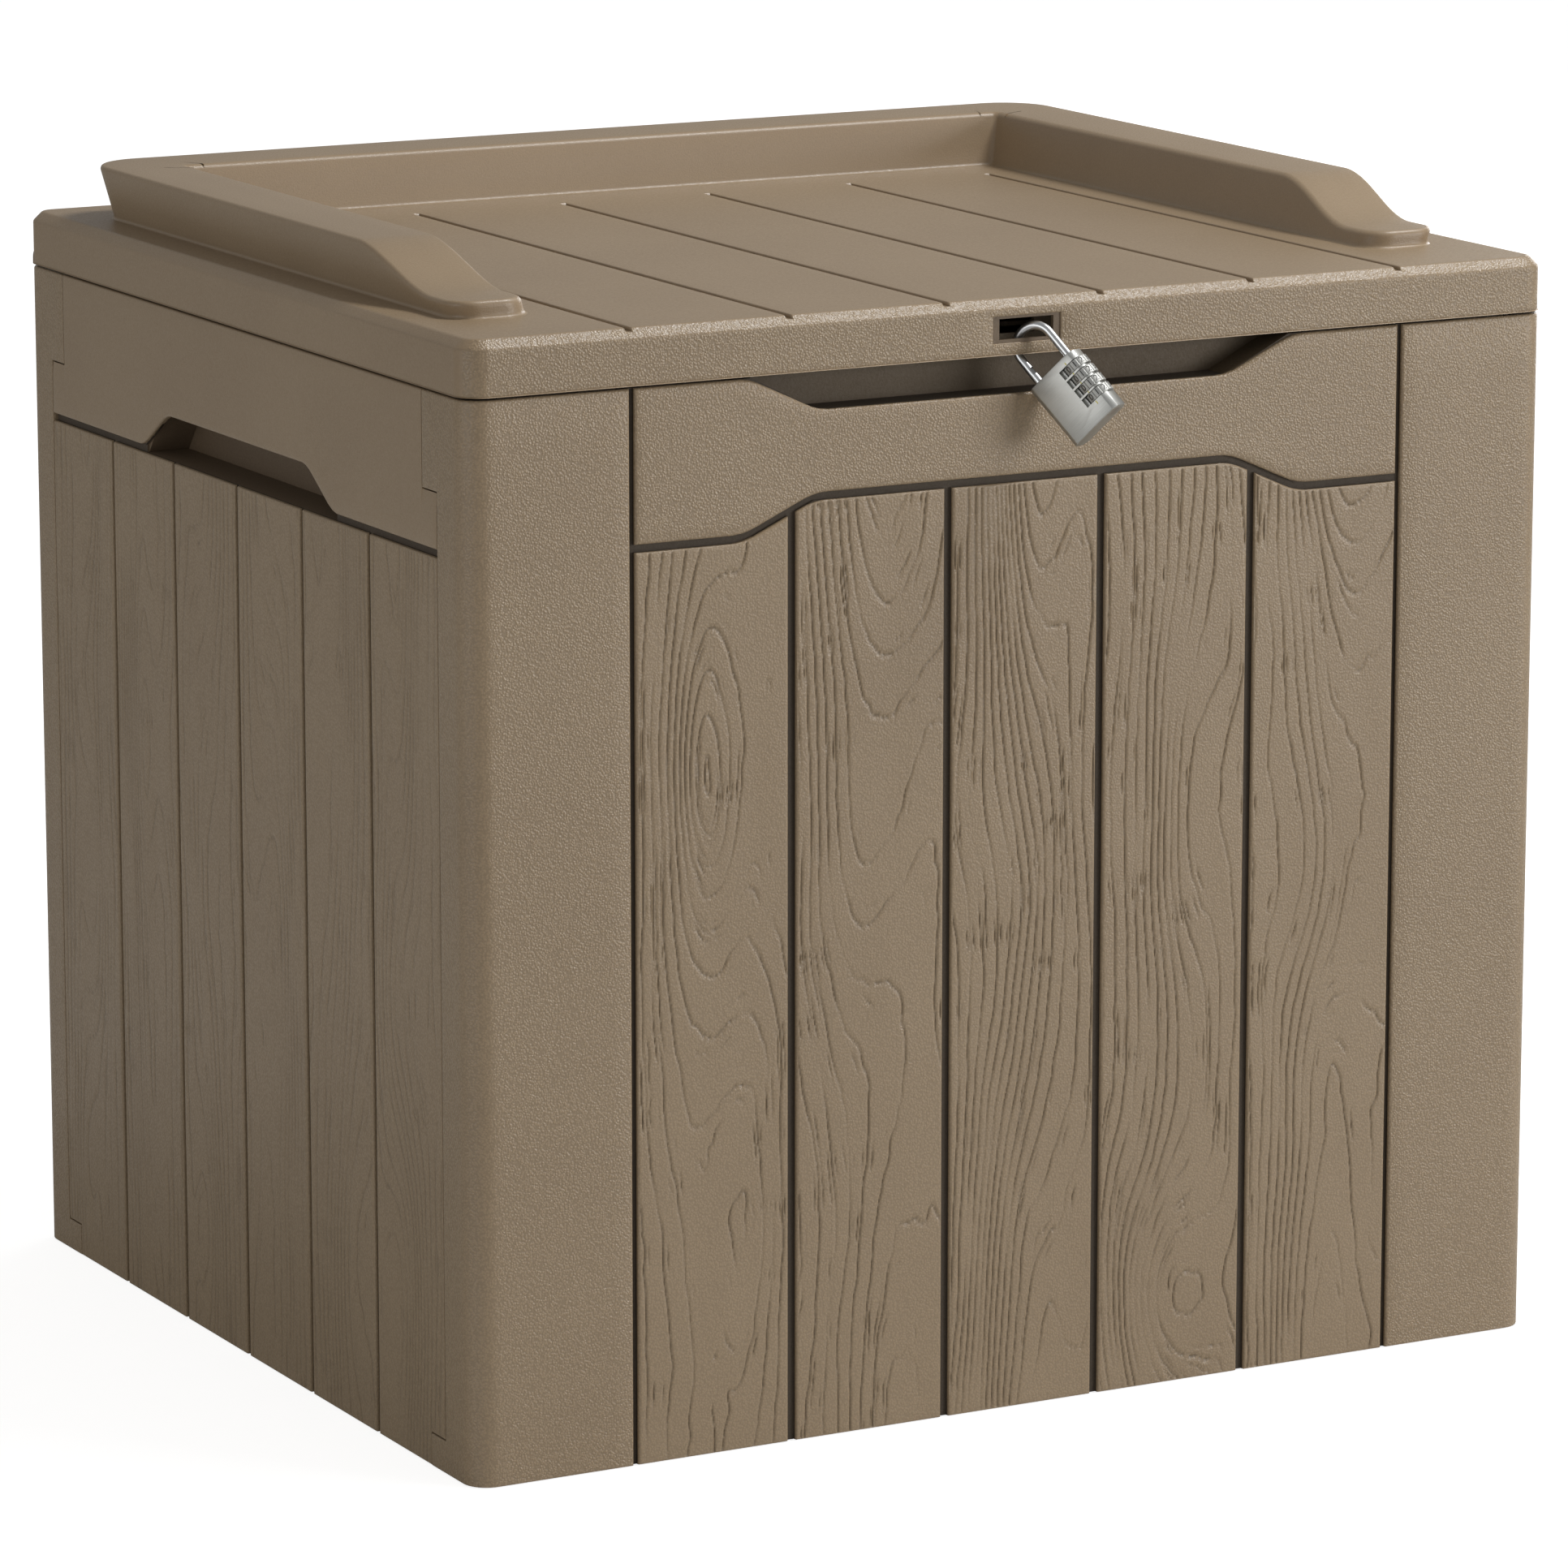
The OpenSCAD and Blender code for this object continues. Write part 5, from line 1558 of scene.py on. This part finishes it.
    def dials(self) -> None:
        """Builds the four dials with their numerals."""
        count = 180
        turn = np.linspace(0, 2 * math.pi, count, False)
        step = math.radians(self.digit_step)
        first = math.radians(self.first_digit)
        off = np.abs(((turn - first) % step) - step / 2)
        groove = 0.22 * np.exp(-((off / math.radians(1.8)) ** 2))
        outer = self.dial_r - groove
        for i in range(4):
            z, half, soft = self.dial_z(i), self.dial_t / 2, 0.25
            section = [(outer - soft, z - half), (outer, z - half + soft), (outer, z + half - soft),
                       (outer - soft, z + half),
                       (np.full(count, self.bore_r), z + half), (np.full(count, self.bore_r), z - half)]
            points = np.stack([np.stack([self.leg_x + r * np.sin(turn), -r * np.cos(turn),
                                         np.full(count, h)], -1)
                               for r, h in section], 1)
            mesh = build_mesh(f"dial_ring_{i + 1}", points.reshape(-1, 3), wrapped_grid(points), (), 25.0)
            add_piece(f"dial_ring_{i + 1}", mesh, f"dial_{i + 1}", [f"padlock_dial_{i + 1}"],
                      self.finishes.dial_metal, self.place())
            digits = [self.digit(k, first + k * step, z) for k in range(10)]
            self.join(f"dial_numerals_{i + 1}", digits, f"dial_{i + 1}", self.finishes.black, [])

    def build(self) -> None:
        """Builds the padlock's pieces."""
        self.shackle()
        self.case()
        self.dials()


# ---------------------------------------------------------------- studio


@dataclass
class Studio:
    """A plain pale floor, soft lamps and the camera."""

    eye: tuple[float, float, float] = (-1.67611, -3.12289, 1.00089)
    heading: float = -28.333
    dip: float = 11.999
    lens: float = 172.18
    floor_half: float = 9e3
    floor_z: float = -0.4

    def floor(self) -> None:
        """Builds the floor."""
        half = self.floor_half
        points = np.array([(x, y, self.floor_z) for x, y in ((-half, -half), (half, -half), (half, half),
                                                             (-half, half))])
        mesh = bpy.data.meshes.new("studio_floor")
        mesh.from_pydata((points * MM).tolist(), [], [(0, 1, 2, 3)])
        material, tree, place = new_material("matt_white_paper")
        mottle = add_node(tree, "ShaderNodeTexNoise", None, {"Vector": place.outputs["Object"],
                                                             "Scale": 40.0})
        shade = add_node(tree, "ShaderNodeMix", {"data_type": "RGBA"},
                         {"Factor": mottle.outputs["Fac"], 6: linear("#D4D4D3"), 7: linear("#D0D0CF")})
        # the paper is lit from behind for the eye alone, so that it stays white without flooding the box
        path = add_node(tree, "ShaderNodeLightPath")
        glow = add_node(tree, "ShaderNodeMath", {"operation": "MULTIPLY"},
                        {0: path.outputs["Is Camera Ray"], 1: 0.8})
        shader = add_node(tree, "ShaderNodeBsdfPrincipled", None,
                          {"Base Color": shade.outputs[2], "Roughness": 0.9,
                           "Emission Color": linear("#FFFFFF"),
                           "Emission Strength": glow.outputs[0], "Specular IOR Level": 0.0})
        add_node(tree, "ShaderNodeOutputMaterial", None, {"Surface": shader.outputs[0]})
        mesh.materials.append(material)
        floor = bpy.data.objects.new("studio_floor", mesh)
        bpy.context.scene.collection.objects.link(floor)

    def lamp(self, name: str, way: tuple[float, float, float], distance: float, size: float,
             power: float) -> None:
        """Adds one soft lamp that faces the box.

        Args:
            name: the lamp's name.
            way: direction of the lamp from the box.
            distance: how far it stands, in metres.
            size: its width, in metres.
            power: its power, in watts.
        """
        light = bpy.data.lights.new(name, "AREA")
        light.shape, light.size, light.energy = "DISK", size, power
        lamp = bpy.data.objects.new(name, light)
        bpy.context.scene.collection.objects.link(lamp)
        aim = Vector((0, 0, 0.3))
        lamp.location = aim + Vector(way).normalized() * distance
        lamp.rotation_mode = "QUATERNION"
        lamp.rotation_quaternion = (aim - lamp.location).to_track_quat("-Z", "Y")

    def world(self) -> None:
        """Adds the pale surroundings: white to the eye, dimmer as a light."""
        world = bpy.data.worlds.new("studio")
        bpy.context.scene.world = world
        world.use_nodes = True
        tree = world.node_tree
        tree.nodes.clear()
        path = add_node(tree, "ShaderNodeLightPath")
        level = add_node(tree, "ShaderNodeMix", {"data_type": "FLOAT"},
                         {"Factor": path.outputs["Is Camera Ray"], 2: 0.3, 3: 1.0})
        back = add_node(tree, "ShaderNodeBackground", None, {"Color": linear("#FFFFFF"),
                                                             "Strength": level.outputs[0]})
        add_node(tree, "ShaderNodeOutputWorld", None, {"Surface": back.outputs[0]})

    def camera(self) -> None:
        """Sets the camera."""
        data = bpy.data.cameras.new("camera")
        data.lens, data.sensor_width = self.lens, 36.0
        data.clip_start, data.clip_end = 0.1, 60.0
        camera = bpy.data.objects.new("camera", data)
        bpy.context.scene.collection.objects.link(camera)
        yaw, dip = math.radians(self.heading), math.radians(self.dip)
        look = Vector((-math.sin(yaw) * math.cos(dip), math.cos(yaw) * math.cos(dip), -math.sin(dip)))
        camera.location = Vector(self.eye)
        camera.rotation_mode = "QUATERNION"
        camera.rotation_quaternion = look.to_track_quat("-Z", "Y")
        bpy.context.scene.camera = camera

    def build(self) -> None:
        """Builds the studio."""
        bpy.context.scene.view_settings.view_transform = "Standard"
        self.floor()
        self.world()
        self.lamp("overhead", (0.464, -0.208, 0.861), 2.6, 0.85, 46.0)
        self.lamp("front_right", (0.66, -0.74, 0.10), 5.0, 2.2, 102.0)
        self.lamp("back", (0.80, 0.60, 0.12), 5.0, 2.4, 62.0)
        self.lamp("left", (-0.94, -0.32, 0.08), 3.2, 2.2, 20.0)
        self.camera()


def dress_frame(finishes: FinishShelf) -> None:
    """Gives the frame's own solids that stay in view their finishes.

    Args:
        finishes: every finish of the box.
    """
    coats = {
        "floor_panel": finishes.dark, "lid_liner": finishes.dark,
        "corner_screws": finishes.plated, "liner_screws": finishes.plated,
        "hinge_pin_left": finishes.plated, "hinge_pin_right": finishes.plated,
        "padlock_bottom_plug": finishes.plated,
    }
    for name, material in coats.items():
        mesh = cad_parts[name].data
        mesh.materials.clear()
        mesh.materials.append(material)
        LOG.info("%s: frame solid with %s", name, material.name)


def main() -> None:
    """Builds the studio, the walls, the lid and the padlock."""
    logging.basicConfig(level=logging.INFO, format="%(message)s")
    Studio().build()
    finishes = FinishShelf()
    dress_frame(finishes)
    EndWall(Wall.FRONT, "front_panel", finishes, rise=16.0, recess_w=212.0, recess_depth=19.0,
            figures=FRONT_FIGURES).build()
    back_figures = tuple(plain_figure(71 + i) for i in range(PLAN.front_planks))
    EndWall(Wall.BACK, "back_panel", finishes, relief_r=6.0, figures=back_figures, grid=(1.0, 1.9)).build()
    SideWall(Wall.LEFT, "left_side_panel", finishes).build()
    SideWall(Wall.RIGHT, "right_side_panel", finishes).build()
    Lid(finishes).build()
    Padlock(finishes).build()
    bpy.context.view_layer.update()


if __name__ == "__main__":
    main()
